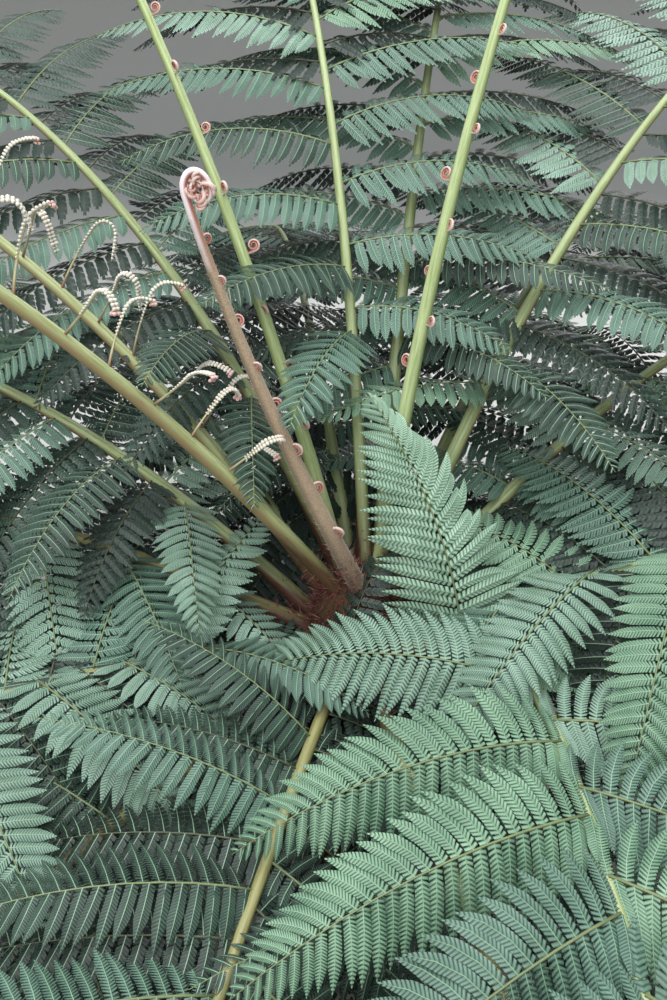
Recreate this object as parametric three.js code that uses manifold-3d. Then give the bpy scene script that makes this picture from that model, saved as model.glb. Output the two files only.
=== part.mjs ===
// A tree fern: a short trunk, a full crown of feathered fronds, and young fronds that still uncurl.
// Millimetres, +Z up. The origin is the centre of the flat cut under the trunk, at ground level.
import * as THREE from 'three';
import Module from 'manifold-3d';

const wasm = await Module();
wasm.setup();

const CLEAR = 0.3; // a stem stands this far off what carries it
const LEAF_CLEAR = 1.6; // the least way between leaves of two fronds
const LEAF_NEAR = 2; // solids with more than this between their boxes need no test
const FINEST = 0.3; // details under this size are smoothed away where solids join

// Trunk: height above ground and radius, from the cut foot to the top of the crown
const TRUNK = [
  [0, 118], [28, 98], [80, 80], [190, 70], [340, 67], [470, 71],
  [560, 82], [610, 93], [660, 91], [705, 78], [740, 58], [765, 34], [778, 10],
];
const TRUNK_SIDES = 12;
const TRUNK_LEAN = 14; // the trunk bows this far towards +X at half height

// The rings of seats that the stems stand on: radius from the axis, height
const RINGS = { low: [88, 585], outer: [84, 640], middle: [62, 695], inner: [36, 740] };
const SEAT_DEPTH = 45; // a stem starts this far back from its seat, inside the crown

// Stems. Their radius is the tip's plus what the foot adds, which the taper takes away
const STEM_FOOT = 12.6;
const STEM_TIP = 2.6;
const STEM_TAPER = 1.6;
const STEM_SIDES = 4;
const STEM_SPANS = 8;
const STEM_BOW = 1.5; // over 1, a stem bends more towards its tip
const PATH_STEPS = 60;
const BEND_AT = 0.5; // share of its length past which a grown frond is a second node

// Leaves of a grown frond
const PAIRS = 15;
const CROWDING = 1.12; // over 1, leaves stand closer towards the tip
const SIDE_STEP = 0.35; // the leaves of one side start this share of a step later
const LONGEST_AT = 0.34; // share of the leafy part where the leaves are longest
const FOOT_SHRINK = 0.32; // how much shorter they are at its foot
const TIP_SHRINK = 0.8; // under 1, the frond stays broad towards its tip
const LEAF_LEAST = 0.05; // share of the longest leaf that the shortest has
const LEAF_WIDE_AT = 0.42; // share of a leaf's length where it is widest
const LEAF_HALF_WIDTH = 0.15; // of its length
const LEAF_FALL = 0.22; // how far its two edges hang, per half width
const LEAF_THICK = 0.0125; // of its length
const LEAF_THINNEST = 4;
const LEAF_DROOP = 42; // degrees that a leaf bends down along its length
const LEAF_RAISE = 10; // degrees that a leaf starts above its stem's plane
const FOOT_RAISE = 24; // degrees more for the leaves at the foot of the leafy part
const FOOT_SHARE = 0.15; // share of the leafy part that they take
const LEAF_OPEN = [106, 66, 0.4]; // degrees from its stem at the foot, how far it closes, and how soon
const LEAF_FACE = [0.4, 0.6]; // how much a leaf faces as its stem does, and how much it faces up
const UPRIGHT_LEAN = 3; // degrees that an upright leaf leans back over its stem's foot
const FACING = 18; // degrees that a frond rolls to lift the side that points to +Y
const VARY = [7, 4]; // degrees that droop and opening differ from leaf to leaf
const VARY_STEPS = [3.1, 2.4]; // how fast they differ with the seat and with the way along the stem
const LEAF_TRIES = [0, 8, -8, 16, -16, 24, -24]; // degrees added to the raise to find a free place
const LEAF_REACHES = [1, 0.8, 0.6]; // shares of the full length that are tried

// Grown fronds, the most open to view first. Seat and heading are compass angles from +X, turning
// towards +Y. Lift and end are the stem's slopes at its foot and tip. Turn is a swing of the heading
// that is over after the share of length in settle. Bare is the stem without leaves, leaf is the
// longest leaf. Where stated, roll lowers the left leaves and lifts the right ones if it is negative,
// rightFrom is where the right leaves start, and shrink takes the place of FOOT_SHRINK. Fan opens the
// leaves by its degrees more round a share of the leafy part, and its last number is how far that goes.
// Towards turns the leaves' faces to -Y, and with upright the first left leaf stands up.
const FRONDS = [
  { name: 'front_right', ring: 'outer', seat: 312, heading: 349, lift: 15, end: -64, turn: -79,
    settle: 0.2, length: 2000, bare: 140, rightFrom: 310, shrink: 0.05, roll: -10, leaf: 490,
    fan: [27, 0.09, 0.05], towards: 0.3, upright: true },
  { name: 'back', ring: 'inner', seat: 60, heading: 102, lift: 77, end: -28, length: 2250, bare: 440,
    leaf: 410, pairs: 19, foot: 9.6 },
  { name: 'right_high', ring: 'middle', seat: 8, heading: 38, lift: 63, end: -20, length: 2250, bare: 430,
    leaf: 470 },
  { name: 'left_high', ring: 'outer', seat: 148, heading: 168, lift: 44, end: -66, length: 2150, bare: 330,
    leaf: 460 },
  { name: 'left', ring: 'outer', seat: 175, heading: 179, lift: 29, end: -76, length: 2100, bare: 240,
    leaf: 460, fan: [40, 0.08, 0.16] },
  { name: 'front_left', ring: 'outer', seat: 204, heading: 209, lift: 15, end: -68, length: 2000, bare: 220,
    leaf: 460, fan: [40, 0.12, 0.16] },
  { name: 'front', ring: 'outer', seat: 256, heading: 256, lift: 3, end: -50, length: 2000, bare: 170,
    leaf: 450, roll: -18 },
  { name: 'right_side', ring: 'outer', seat: 338, heading: 345, lift: 34, end: -60, length: 2100, bare: 180,
    leaf: 480, roll: 14, fan: [40, 0.1, 0.16], towards: 0.2 },
  { name: 'right', ring: 'outer', seat: 5, heading: 6, lift: 30, end: -62, length: 2100, bare: 240,
    leaf: 460, fan: [25, 0.1, 0.16] },
  { name: 'right_back', ring: 'outer', seat: 32, heading: 24, lift: 44, end: -55, length: 2200, bare: 330,
    leaf: 460 },
  { name: 'back_right', ring: 'middle', seat: 48, heading: 78, lift: 74, end: -25, length: 2200, bare: 420,
    leaf: 440 },
  { name: 'back_left', ring: 'middle', seat: 103, heading: 149, lift: 62, end: -30, length: 2150, bare: 400,
    leaf: 450 },
  { name: 'far_back', ring: 'outer', seat: 88, heading: 100, lift: 42, end: -58, length: 2150, bare: 330,
    leaf: 460 },
  { name: 'far_right', ring: 'outer', seat: 60, heading: 57, lift: 46, end: -55, length: 2150, bare: 330,
    leaf: 460 },
  { name: 'far_left', ring: 'outer', seat: 118, heading: 127, lift: 32, end: -64, length: 2100, bare: 300,
    leaf: 460 },
  { name: 'low_front_left', ring: 'low', seat: 234, heading: 231, lift: 8, end: -50, length: 1950, bare: 260,
    leaf: 450, pairs: 12 },
  { name: 'low_front', ring: 'low', seat: 284, heading: 284, lift: 4, end: -46, length: 1850, bare: 260,
    leaf: 450, pairs: 12 },
  { name: 'low_front_right', ring: 'low', seat: 332, heading: 327, lift: 6, end: -50, length: 1950, bare: 260,
    leaf: 450, pairs: 12 },
  { name: 'low_right', ring: 'low', seat: 28, heading: 32, lift: 8, end: -50, length: 1950, bare: 260,
    leaf: 450, pairs: 12 },
  { name: 'low_back', ring: 'low', seat: 96, heading: 94, lift: 8, end: -52, length: 1950, bare: 260,
    leaf: 450, pairs: 12 },
  { name: 'low_left', ring: 'low', seat: 165, heading: 160, lift: 4, end: -48, length: 1950, bare: 260,
    leaf: 450, pairs: 12 },
];

// Young fronds: three with their leaves still rolled in buds on the stem, and two whose rolled
// leaves stand on stalks. Foot, tip and taper are the stem's own, coil is the rolled tip's radius.
// BudWay is how far a bud or stalk points to its side, and how far to the stem's upper side.
const YOUNG = [
  { name: 'young_left', ring: 'inner', seat: 125, heading: 155, lift: 74, end: 56, turn: -4, length: 1350,
    foot: 8.8, tip: 5, taper: 1.2, bare: 290, buds: 6, budWay: [0.45, 0.85], stalk: 0, bud: 9, coil: 30 },
  { name: 'young_right', ring: 'inner', seat: 355, heading: 34, lift: 82, end: 64, length: 1300, foot: 9.5,
    tip: 5, taper: 1.1, bare: 400, buds: 7, budWay: [0.9, 0.1], stalk: 0, bud: 9, coil: 32 },
  { name: 'crozier', ring: 'inner', seat: 291, heading: 178, lift: 65, end: 75, turn: 10, length: 720,
    foot: 10.6, tip: 6, taper: 1, bare: 130, buds: 4, budWay: [0.4, 0.9], stalk: 0, bud: 8, coil: 26 },
  { name: 'unfurling_back', ring: 'middle', seat: 145, heading: 169, lift: 56, end: 8, length: 1600,
    foot: 10, tip: 4.8, taper: 1.2, bare: 300, buds: 9, budWay: [0.35, 0.9], stalk: 120, bud: 10, coil: 34 },
  { name: 'unfurling_front', ring: 'inner', seat: 208, heading: 198, lift: 55, end: 18, length: 1600,
    foot: 10, tip: 5, taper: 1, bare: 320, buds: 9, budWay: [0.35, 0.9], stalk: 100, bud: 10, coil: 34 },
];
const YOUNG_SIDES = 6;
const YOUNG_SPANS = 7;
const BUD_CROWDING = 1.2;
const BUDS_END = 0.96; // share of the leafy part where the last bud stands
const BUD_SIDE_STEP = 0.5;
const BUD_SEAT = 0.35; // of its radius, the way that a sitting bud's middle is off the stem
const BUD_SHRINK = 0.3; // how much smaller the buds are at the tip
const BUD_LONG = 1.2; // a bud's half length, in radii
const BUD_SIDES = 4;
// A stalk's middle, neck and head: shares of its length out and leaning over, and of its bud's radius
const STALK = [[0.45, 0.02, 0.36], [0.84, 0.1, 0.3], [0.92, 0.14, 1]];
const STALK_LEAN = 0.2;
const STALK_SIDES = 3;
const STALK_SHORTEST = 0.55; // of the longest stalk
const STALK_LATE = 0.2; // how far before the middle of the leafy part the longest ones stand
const COIL_SPANS = 9;
const COIL_TURN = 340; // degrees that a rolled tip winds
const COIL_TIGHTENS = 0.45; // share of its radius that the coil has lost at its inner end
const COIL_THINS = 0.45; // share of its thickness that it has lost there
const EYE = [0.62, 0.95, 8]; // the coil's filled eye: of the coil's radius, of the tip's, and its sides
const EYE_AFTER = 2; // the span of the coil whose centre is the eye

const FINISHES = {
  bark: { color: '#4a3324', roughness: 0.95 },
  leaf: { color: '#5f8a70', roughness: 0.75 },
  young: { color: '#a9b27a', roughness: 0.6 },
  crozier: { color: '#8d6a4e', roughness: 0.8 },
};

const UP = new THREE.Vector3(0, 0, 1);
const VIEWER = new THREE.Vector3(0, -1, 0);
const rad = THREE.MathUtils.degToRad;

// Turns rings of points into one closed solid; a ring of one point is a sharp end
function solidFromRings(rings) {
  const solid = closedBetween(rings);
  return solid.volume() < 0 ? closedBetween(rings.map((points) => [...points].reverse())) : solid;
}

function closedBetween(rings) {
  const points = rings.flat();
  const start = [0];
  rings.forEach((points, i) => start.push(start[i] + points.length));
  const faces = [];
  for (let k = 0; k + 1 < rings.length; k += 1) {
    const sides = Math.max(rings[k].length, rings[k + 1].length);
    for (let j = 0; j < sides; j += 1) {
      const next = (j + 1) % sides;
      const a = start[k] + (rings[k].length > 1 ? j : 0);
      const b = start[k] + (rings[k].length > 1 ? next : 0);
      const c = start[k + 1] + (rings[k + 1].length > 1 ? next : 0);
      const d = start[k + 1] + (rings[k + 1].length > 1 ? j : 0);
      if (a !== b) faces.push(a, b, c);
      if (c !== d) faces.push(a, c, d);
    }
  }
  const last = rings.length - 1;
  for (let j = 1; j + 1 < rings[0].length; j += 1) faces.push(0, j + 1, j);
  for (let j = 1; j + 1 < rings[last].length; j += 1) {
    faces.push(start[last], start[last] + j, start[last] + j + 1);
  }
  return new wasm.Manifold(new wasm.Mesh({
    numProp: 3,
    vertProperties: new Float32Array(points.flatMap((p) => [p.x, p.y, p.z])),
    triVerts: new Uint32Array(faces),
  }));
}

// A ring of points round a centre, with a flat side towards the first axis
function ring(centre, across, over, radius, sides) {
  return Array.from({ length: sides }, (_, j) => {
    const angle = ((j + 0.5) / sides) * 2 * Math.PI;
    return centre.clone()
      .addScaledVector(across, radius * Math.cos(angle))
      .addScaledVector(over, radius * Math.sin(angle));
  });
}

// The trunk, or the trunk grown by a clearance that its stems are cut with
function trunk(grown) {
  const top = TRUNK[TRUNK.length - 1][0];
  const rings = TRUNK.map(([height, radius]) => {
    const bow = TRUNK_LEAN * Math.sin((Math.PI * height) / top);
    const level = height === 0 ? -grown : height + grown;
    return ring(new THREE.Vector3(bow, 0, level), new THREE.Vector3(1, 0, 0), new THREE.Vector3(0, 1, 0),
      radius + grown, TRUNK_SIDES);
  });
  return solidFromRings(rings);
}

// The way of a stem: points one step apart, each with the direction there
function stemPath(frond) {
  const [radius, height] = RINGS[frond.ring];
  const seat = rad(frond.seat);
  const point = new THREE.Vector3(radius * Math.cos(seat), radius * Math.sin(seat), height);
  const step = frond.length / PATH_STEPS;
  const path = [];
  for (let i = 0; i <= PATH_STEPS; i += 1) {
    const u = (i + 0.5) / PATH_STEPS;
    const settled = Math.min(1, u / (frond.settle ?? 1));
    const slope = rad(frond.lift + (frond.end - frond.lift) * u ** STEM_BOW);
    const heading = rad(frond.heading + (frond.turn ?? 0) * settled * settled * (3 - 2 * settled));
    const along = new THREE.Vector3(Math.cos(slope) * Math.cos(heading),
      Math.cos(slope) * Math.sin(heading), Math.sin(slope));
    path.push({ point: point.clone(), along });
    point.addScaledVector(along, step);
  }
  return path;
}

// Place and axes of a stem at a way along it: along, to its left, and over its upper side
function stemAt(frond, way) {
  const place = Math.min(Math.max((way / frond.length) * PATH_STEPS, 0), PATH_STEPS - 1e-6);
  const i = Math.floor(place);
  const from = frond.path[i];
  const to = frond.path[i + 1];
  const point = from.point.clone().lerp(to.point, place - i);
  const along = from.along.clone().lerp(to.along, place - i).normalize();
  const left = new THREE.Vector3().crossVectors(UP, along).normalize();
  const over = new THREE.Vector3().crossVectors(along, left);
  return { point, along, left, over };
}

// Radius of a stem at a share of its length
function stemRadius(frond, share) {
  const foot = frond.foot ?? STEM_FOOT;
  const tip = frond.tip ?? STEM_TIP;
  return tip + foot * (1 - share) ** (frond.taper ?? STEM_TAPER);
}

// The ways along a stem where its straight spans meet
function stemWays(from, to, spans) {
  return Array.from({ length: spans + 1 }, (_, k) => from + ((to - from) * k) / spans);
}

// A length of stem of straight spans, with its foot pushed back into the crown
function stem(frond, ways, sides) {
  const rings = ways.map((way) => {
    const { point, left, over } = stemAt(frond, way);
    return ring(point, left, over, stemRadius(frond, way / frond.length), sides);
  });
  if (ways[0] === 0) {
    const { point, along, left, over } = stemAt(frond, 0);
    rings.unshift(ring(point.addScaledVector(along, -SEAT_DEPTH), left, over, stemRadius(frond, 0), sides));
  }
  return solidFromRings(rings);
}

// The middle of a stem of straight spans, where a leaf's root is sunk
function stemMiddle(frond, ways, way) {
  const k = Math.min(ways.findLastIndex((from) => from <= way), ways.length - 2);
  const share = (way - ways[k]) / (ways[k + 1] - ways[k]);
  return stemAt(frond, ways[k]).point.lerp(stemAt(frond, ways[k + 1]).point, share);
}

// Longest leaves stand a third of the way up the leafy part, and shorten to the tip
function leafShare(frond, x) {
  const from = x - LONGEST_AT;
  if (from < 0) return 1 - (frond.shrink ?? FOOT_SHRINK) * (from / LONGEST_AT) ** 2;
  return Math.max(LEAF_LEAST, 1 - (from / (1 - LONGEST_AT)) ** 2) ** TIP_SHRINK;
}

// Where each leaf starts along its stem, and on which side
function leafRoots(frond) {
  const roots = [];
  const pairs = frond.pairs ?? PAIRS;
  for (let i = 0; i < pairs; i += 1) {
    for (const side of [1, -1]) {
      const late = side < 0 ? SIDE_STEP : 0;
      const x = 1 - (1 - (i + late) / pairs) ** CROWDING;
      const way = frond.bare + (frond.length - frond.bare) * x;
      if (side > 0 || way >= (frond.rightFrom ?? 0)) roots.push({ x, side, way });
    }
  }
  return roots;
}

// The midrib of one leaf: an arc that starts out from the stem and bends down
function leafArc(frond, root, raise, reach) {
  const { point, along, left, over } = stemAt(frond, root.way);
  const vary = Math.sin(VARY_STEPS[0] * frond.seat + VARY_STEPS[1] * root.way);
  const [fan, fanAt, fanWide] = frond.fan ?? [0, 0, 1];
  const more = VARY[1] * vary + fan * Math.exp(-(((root.x - fanAt) / fanWide) ** 2));
  const open = rad(LEAF_OPEN[0] - LEAF_OPEN[1] * root.x ** LEAF_OPEN[2] + more);
  const roll = root.side * ((frond.roll ?? 0) + FACING * left.y);
  const early = FOOT_RAISE * Math.max(0, 1 - root.x / FOOT_SHARE);
  const up = rad(LEAF_RAISE + early + raise + roll);
  const out = along.clone().multiplyScalar(Math.cos(open))
    .addScaledVector(left, root.side * Math.sin(open) * Math.cos(up))
    .addScaledVector(over, Math.sin(open) * Math.sin(up)).normalize();
  const face = over.clone().multiplyScalar(LEAF_FACE[0]).addScaledVector(UP, LEAF_FACE[1])
    .addScaledVector(VIEWER, frond.towards ?? 0);
  if (frond.upright && root.side > 0 && root.x === 0) {
    const lean = rad(UPRIGHT_LEAN + Math.abs(raise));
    out.copy(along).multiplyScalar(-Math.sin(lean)).addScaledVector(UP, Math.cos(lean)).normalize();
    face.copy(VIEWER);
  }
  const down = UP.clone().negate().addScaledVector(out, out.z).normalize();
  const length = frond.leaf * leafShare(frond, root.x) * reach;
  return { point, out, down, face, length, bend: rad(LEAF_DROOP - VARY[0] * vary) };
}

// Place and axes of a leaf at a share of its length
function leafAt(arc, share) {
  const turn = arc.bend * share;
  const point = arc.point.clone()
    .addScaledVector(arc.out, (arc.length * Math.sin(turn)) / arc.bend)
    .addScaledVector(arc.down, (arc.length * (1 - Math.cos(turn))) / arc.bend);
  const along = arc.out.clone().multiplyScalar(Math.cos(turn)).addScaledVector(arc.down, Math.sin(turn));
  const over = arc.face.clone().addScaledVector(along, -arc.face.dot(along)).normalize();
  const across = new THREE.Vector3().crossVectors(over, along);
  return { point, over, across };
}

// One leaf: a long kite with a raised midrib and hanging edges, its root sunk to the stem's middle
function leaf(arc, root) {
  const { point, over, across } = leafAt(arc, LEAF_WIDE_AT);
  const half = arc.length * LEAF_HALF_WIDTH;
  const thick = Math.max(LEAF_THINNEST, arc.length * LEAF_THICK) / 2;
  const edge = (side) => point.clone()
    .addScaledVector(across, side * half)
    .addScaledVector(over, -half * LEAF_FALL);
  const rib = (side) => point.clone().addScaledVector(over, side * thick);
  return solidFromRings([[root], [edge(1), rib(1), edge(-1), rib(-1)], [leafAt(arc, 1).point]]);
}

// A small pointed bud
function bud(centre, along, side, radius) {
  const over = new THREE.Vector3().crossVectors(along, side).normalize();
  const across = new THREE.Vector3().crossVectors(over, along).normalize();
  return solidFromRings([
    [centre.clone().addScaledVector(along, -radius * BUD_LONG)],
    ring(centre, across, over, radius, BUD_SIDES),
    [centre.clone().addScaledVector(along, radius * BUD_LONG)],
  ]);
}

// A rolled leaf on its own stalk that leans over at the end
function stalkedBud(base, out, lean, length, radius) {
  const across = new THREE.Vector3().crossVectors(out, lean).normalize();
  const rings = STALK.map(([rise, bend, thick]) => ring(base.clone().addScaledVector(out, length * rise)
    .addScaledVector(lean, length * bend), across, lean, thick * radius, STALK_SIDES));
  const top = base.clone().addScaledVector(out, length).addScaledVector(lean, length * STALK_LEAN);
  return solidFromRings([[base], ...rings, [top]]);
}

// The rolled tip of a young frond: a tube that winds over its upper side, with a full eye
function coil(frond) {
  const { point, along, over, left } = stemAt(frond, frond.length);
  const tipRadius = stemRadius(frond, 1);
  const rings = [];
  const eye = new THREE.Vector3();
  const span = rad(COIL_TURN) / COIL_SPANS;
  for (let k = 0; k <= COIL_SPANS; k += 1) {
    const angle = k * span;
    const share = k / COIL_SPANS;
    const radius = (frond.coil - tipRadius) * (1 - COIL_TIGHTENS * share);
    const inward = over.clone().multiplyScalar(Math.cos(angle)).addScaledVector(along, -Math.sin(angle));
    rings.push(ring(point.clone(), left, inward, tipRadius * (1 - COIL_THINS * share), YOUNG_SIDES));
    if (k === EYE_AFTER) eye.copy(point).addScaledVector(inward, radius);
    const middle = angle + span / 2;
    point.addScaledVector(along, Math.cos(middle) * radius * span)
      .addScaledVector(over, Math.sin(middle) * radius * span);
  }
  const [width, thickness, sides] = EYE;
  const lens = solidFromRings([
    [eye.clone().addScaledVector(left, -tipRadius * thickness)],
    ring(eye, along, over.clone().negate(), frond.coil * width, sides),
    [eye.clone().addScaledVector(left, tipRadius * thickness)],
  ]);
  return [solidFromRings(rings), lens];
}

// All buds of a young frond, sitting on its stem or on stalks
function buds(frond, ways) {
  const pieces = [];
  for (let i = 0; i < frond.buds; i += 1) {
    for (const side of [1, -1]) {
      const x = (i + (side < 0 ? BUD_SIDE_STEP : 0)) / frond.buds;
      const way = frond.bare + (frond.length - frond.bare) * (1 - (1 - x) ** BUD_CROWDING) * BUDS_END;
      const { along, left, over } = stemAt(frond, way);
      const middle = stemMiddle(frond, ways, way);
      const [aside, above] = frond.budWay;
      const out = left.clone().multiplyScalar(side * aside).addScaledVector(over, above).normalize();
      if (frond.stalk) {
        const lean = along.clone().addScaledVector(out, -along.dot(out)).normalize();
        const wave = Math.sin(Math.PI * Math.min(1, x + STALK_LATE));
        const length = frond.stalk * (STALK_SHORTEST + (1 - STALK_SHORTEST) * wave);
        pieces.push(stalkedBud(middle, out, lean, length, frond.bud));
      } else {
        const off = stemRadius(frond, way / frond.length) + frond.bud * BUD_SEAT;
        pieces.push(bud(middle.addScaledVector(out, off), along, out, frond.bud * (1 - BUD_SHRINK * x)));
      }
    }
  }
  return pieces;
}

const socket = trunk(CLEAR);
const placed = []; // solids that are already there, with the node that each belongs to

function boxesMeet(a, b) {
  return [0, 1, 2].every((k) => a.min[k] - LEAF_NEAR < b.max[k] && b.min[k] - LEAF_NEAR < a.max[k]);
}

function isFree(solid, node) {
  const box = solid.boundingBox();
  return placed.every((other) => other.node === node || !boxesMeet(box, other.box)
    || solid.minGap(other.solid, LEAF_NEAR) >= LEAF_CLEAR);
}

function place(solid, node) {
  placed.push({ solid, node, box: solid.boundingBox() });
  return solid;
}

// Joins a node's pieces and cuts them clear of the trunk
function joined(pieces) {
  return wasm.Manifold.union(pieces).asOriginal().simplify(FINEST).subtract(socket);
}

// One half of a grown frond, so far only its stem
function half(frond, name, ways, roots) {
  return { name, frond, ways, roots, stem: place(stem(frond, ways, STEM_SIDES), name) };
}

// A grown frond is two nodes that part between two leaves, where it bends
function halves(frond) {
  frond.path = stemPath(frond);
  const roots = leafRoots(frond);
  const bendAt = roots.findIndex((root) => root.side > 0 && root.way > frond.length * BEND_AT);
  const split = (roots[bendAt - 1].way + roots[bendAt].way) / 2;
  const lowerWays = stemWays(0, split - CLEAR / 2, STEM_SPANS / 2);
  const upperWays = stemWays(split + CLEAR / 2, frond.length, STEM_SPANS / 2);
  return [
    half(frond, `${frond.name}_lower`, lowerWays, roots.slice(0, bendAt)),
    half(frond, `${frond.name}_upper`, upperWays, roots.slice(bendAt)),
  ];
}

// A young frond is one node
function youngFrond(frond) {
  frond.path = stemPath(frond);
  const ways = stemWays(0, frond.length, YOUNG_SPANS);
  return joined([stem(frond, ways, YOUNG_SIDES), ...coil(frond), ...buds(frond, ways)]);
}

// Puts one leaf where it touches no other frond, or leaves it out
function placeLeaf({ frond, ways, name }, root) {
  const foot = stemMiddle(frond, ways, root.way);
  for (const reach of LEAF_REACHES) {
    for (const raise of LEAF_TRIES) {
      const solid = leaf(leafArc(frond, root, raise, reach), foot);
      if (isFree(solid, name)) return [place(solid, name)];
    }
  }
  return [];
}

function meshOf(solid, name, finish) {
  const { vertProperties, triVerts } = solid.getMesh();
  const geometry = new THREE.BufferGeometry();
  geometry.setAttribute('position', new THREE.BufferAttribute(new Float32Array(vertProperties), 3));
  geometry.setIndex(new THREE.BufferAttribute(new Uint32Array(triVerts), 1));
  const material = new THREE.MeshStandardMaterial({ metalness: 0, ...FINISHES[finish] });
  const mesh = new THREE.Mesh(geometry, material);
  mesh.name = name;
  return mesh;
}

// Every stem and young frond is there before the first leaf, so that no leaf touches one
const fern = new THREE.Group();
fern.add(meshOf(trunk(0), 'trunk', 'bark'));
const grown = FRONDS.flatMap(halves);
for (const frond of YOUNG) {
  const solid = place(youngFrond(frond), frond.name);
  fern.add(meshOf(solid, frond.name, frond.name === 'crozier' ? 'crozier' : 'young'));
}
for (const part of grown) {
  const leaves = part.roots.flatMap((root) => placeLeaf(part, root));
  fern.add(meshOf(joined([part.stem, ...leaves]), part.name, 'leaf'));
}

export default fern;
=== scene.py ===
"""A tree fern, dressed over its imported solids. Sizes are in millimetres until they reach a mesh."""
import math

import bpy
import numpy as np
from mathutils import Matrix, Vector, noise


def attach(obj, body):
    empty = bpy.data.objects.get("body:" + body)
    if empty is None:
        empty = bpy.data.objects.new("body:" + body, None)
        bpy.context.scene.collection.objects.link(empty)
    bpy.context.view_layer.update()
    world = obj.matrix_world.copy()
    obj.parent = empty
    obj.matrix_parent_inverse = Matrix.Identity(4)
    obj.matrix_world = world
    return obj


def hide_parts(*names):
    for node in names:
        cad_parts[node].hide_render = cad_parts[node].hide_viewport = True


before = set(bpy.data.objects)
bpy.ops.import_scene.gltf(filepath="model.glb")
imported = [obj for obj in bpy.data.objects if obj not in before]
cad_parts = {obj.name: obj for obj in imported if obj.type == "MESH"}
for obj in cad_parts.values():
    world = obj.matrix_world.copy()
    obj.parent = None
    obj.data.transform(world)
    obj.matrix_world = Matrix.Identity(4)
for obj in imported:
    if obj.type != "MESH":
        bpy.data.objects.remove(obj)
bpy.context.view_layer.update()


# The trunk is one upright stem matted with old brown roots, which flares where it meets the ground.
# It is drawn up ring by ring from its flat foot, and its fibres are then pushed out of the surface.
TRUNK_RINGS = (
    (0, 118), (28, 98), (80, 80), (190, 70), (340, 67), (470, 71),
    (560, 82), (610, 93), (660, 91), (705, 78), (740, 58), (765, 34), (778, 10),
)
TRUNK_LEAN = 14
TRUNK_SIDES = 96
ROOT_RELIEF = 5.0
ROOT_WIDTH = 11.0
ROOT_LENGTH = 95.0
LUMP_WIDTH = 42.0
LUMP_SHARE = 0.8
SUNK = 2.0
MM = 0.001


def bow(height):
    """How far the trunk's middle stands off the axis at a height."""
    return TRUNK_LEAN * math.sin(math.pi * height / TRUNK_RINGS[-1][0])


def trunk_radius(height):
    """Radius of the trunk at a height."""
    heights, radii = zip(*TRUNK_RINGS)
    return float(np.interp(height, heights, radii))


def draw_trunk():
    """Draws the trunk up from a filled circle, ring by ring."""
    bpy.ops.object.select_all(action="DESELECT")
    foot = TRUNK_RINGS[0][1]
    bpy.ops.mesh.primitive_circle_add(vertices=TRUNK_SIDES, radius=foot * MM, fill_type="NGON")
    piece = bpy.context.object
    bpy.ops.object.mode_set(mode="EDIT")
    for (low, wide), (high, narrow) in zip(TRUNK_RINGS, TRUNK_RINGS[1:]):
        rise = (bow(high) - bow(low)) * MM, 0, (high - low) * MM
        bpy.ops.mesh.extrude_region_move(TRANSFORM_OT_translate={"value": rise})
        share = narrow / wide
        bpy.ops.transform.resize(value=(share, share, 1), center_override=(bow(high) * MM, 0, high * MM))
    bpy.ops.mesh.select_all(action="SELECT")
    bpy.ops.mesh.normals_make_consistent(inside=False)
    bpy.ops.mesh.select_all(action="DESELECT")
    bpy.ops.object.mode_set(mode="OBJECT")
    for face in piece.data.polygons:
        face.select = len(face.vertices) == 4
    bpy.ops.object.mode_set(mode="EDIT")
    bpy.ops.mesh.subdivide(number_cuts=2)
    bpy.ops.object.mode_set(mode="OBJECT")
    return piece


def roughen_trunk(piece):
    """Pushes long upright fibres in and out of the trunk's side."""
    for corner in piece.data.vertices:
        place = corner.co
        middle = Vector((bow(place.z / MM) * MM, 0, place.z))
        out = place - middle
        if out.length < 0.5 * TRUNK_RINGS[-1][1] * MM:
            continue  # the middle of the top and the flat foot have no side
        across = place / MM / ROOT_WIDTH
        fibre = noise.noise(Vector((across.x, across.y, place.z / MM / ROOT_LENGTH)))
        lump = noise.noise(place / MM / LUMP_WIDTH)
        corner.co = place + out.normalized() * (ROOT_RELIEF * (fibre + LUMP_SHARE * lump) - SUNK) * MM


def linear(colour):
    """An sRGB hex colour as linear red, green, blue and alpha."""
    parts = [int(colour[i:i + 2], 16) / 255 for i in (1, 3, 5)]
    return (*[p / 12.92 if p <= 0.04045 else ((p + 0.055) / 1.055) ** 2.4 for p in parts], 1.0)


def add(tree, kind, inputs, **settings):
    """Adds one shader node. An input is a plain value, or a node and the name of its output."""
    node = tree.nodes.new("ShaderNode" + kind)
    for name, value in settings.items():
        setattr(node, name, value)
    for name, value in inputs.items():
        if isinstance(value, tuple) and isinstance(value[0], bpy.types.Node):
            tree.links.new(value[0].outputs[value[1]], node.inputs[name])
        else:
            node.inputs[name].default_value = value
    return node


def fresh_material(name):
    """An empty material, and its node tree."""
    material = bpy.data.materials.new(name)
    material.use_nodes = True
    material.node_tree.nodes.clear()
    return material, material.node_tree


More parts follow.
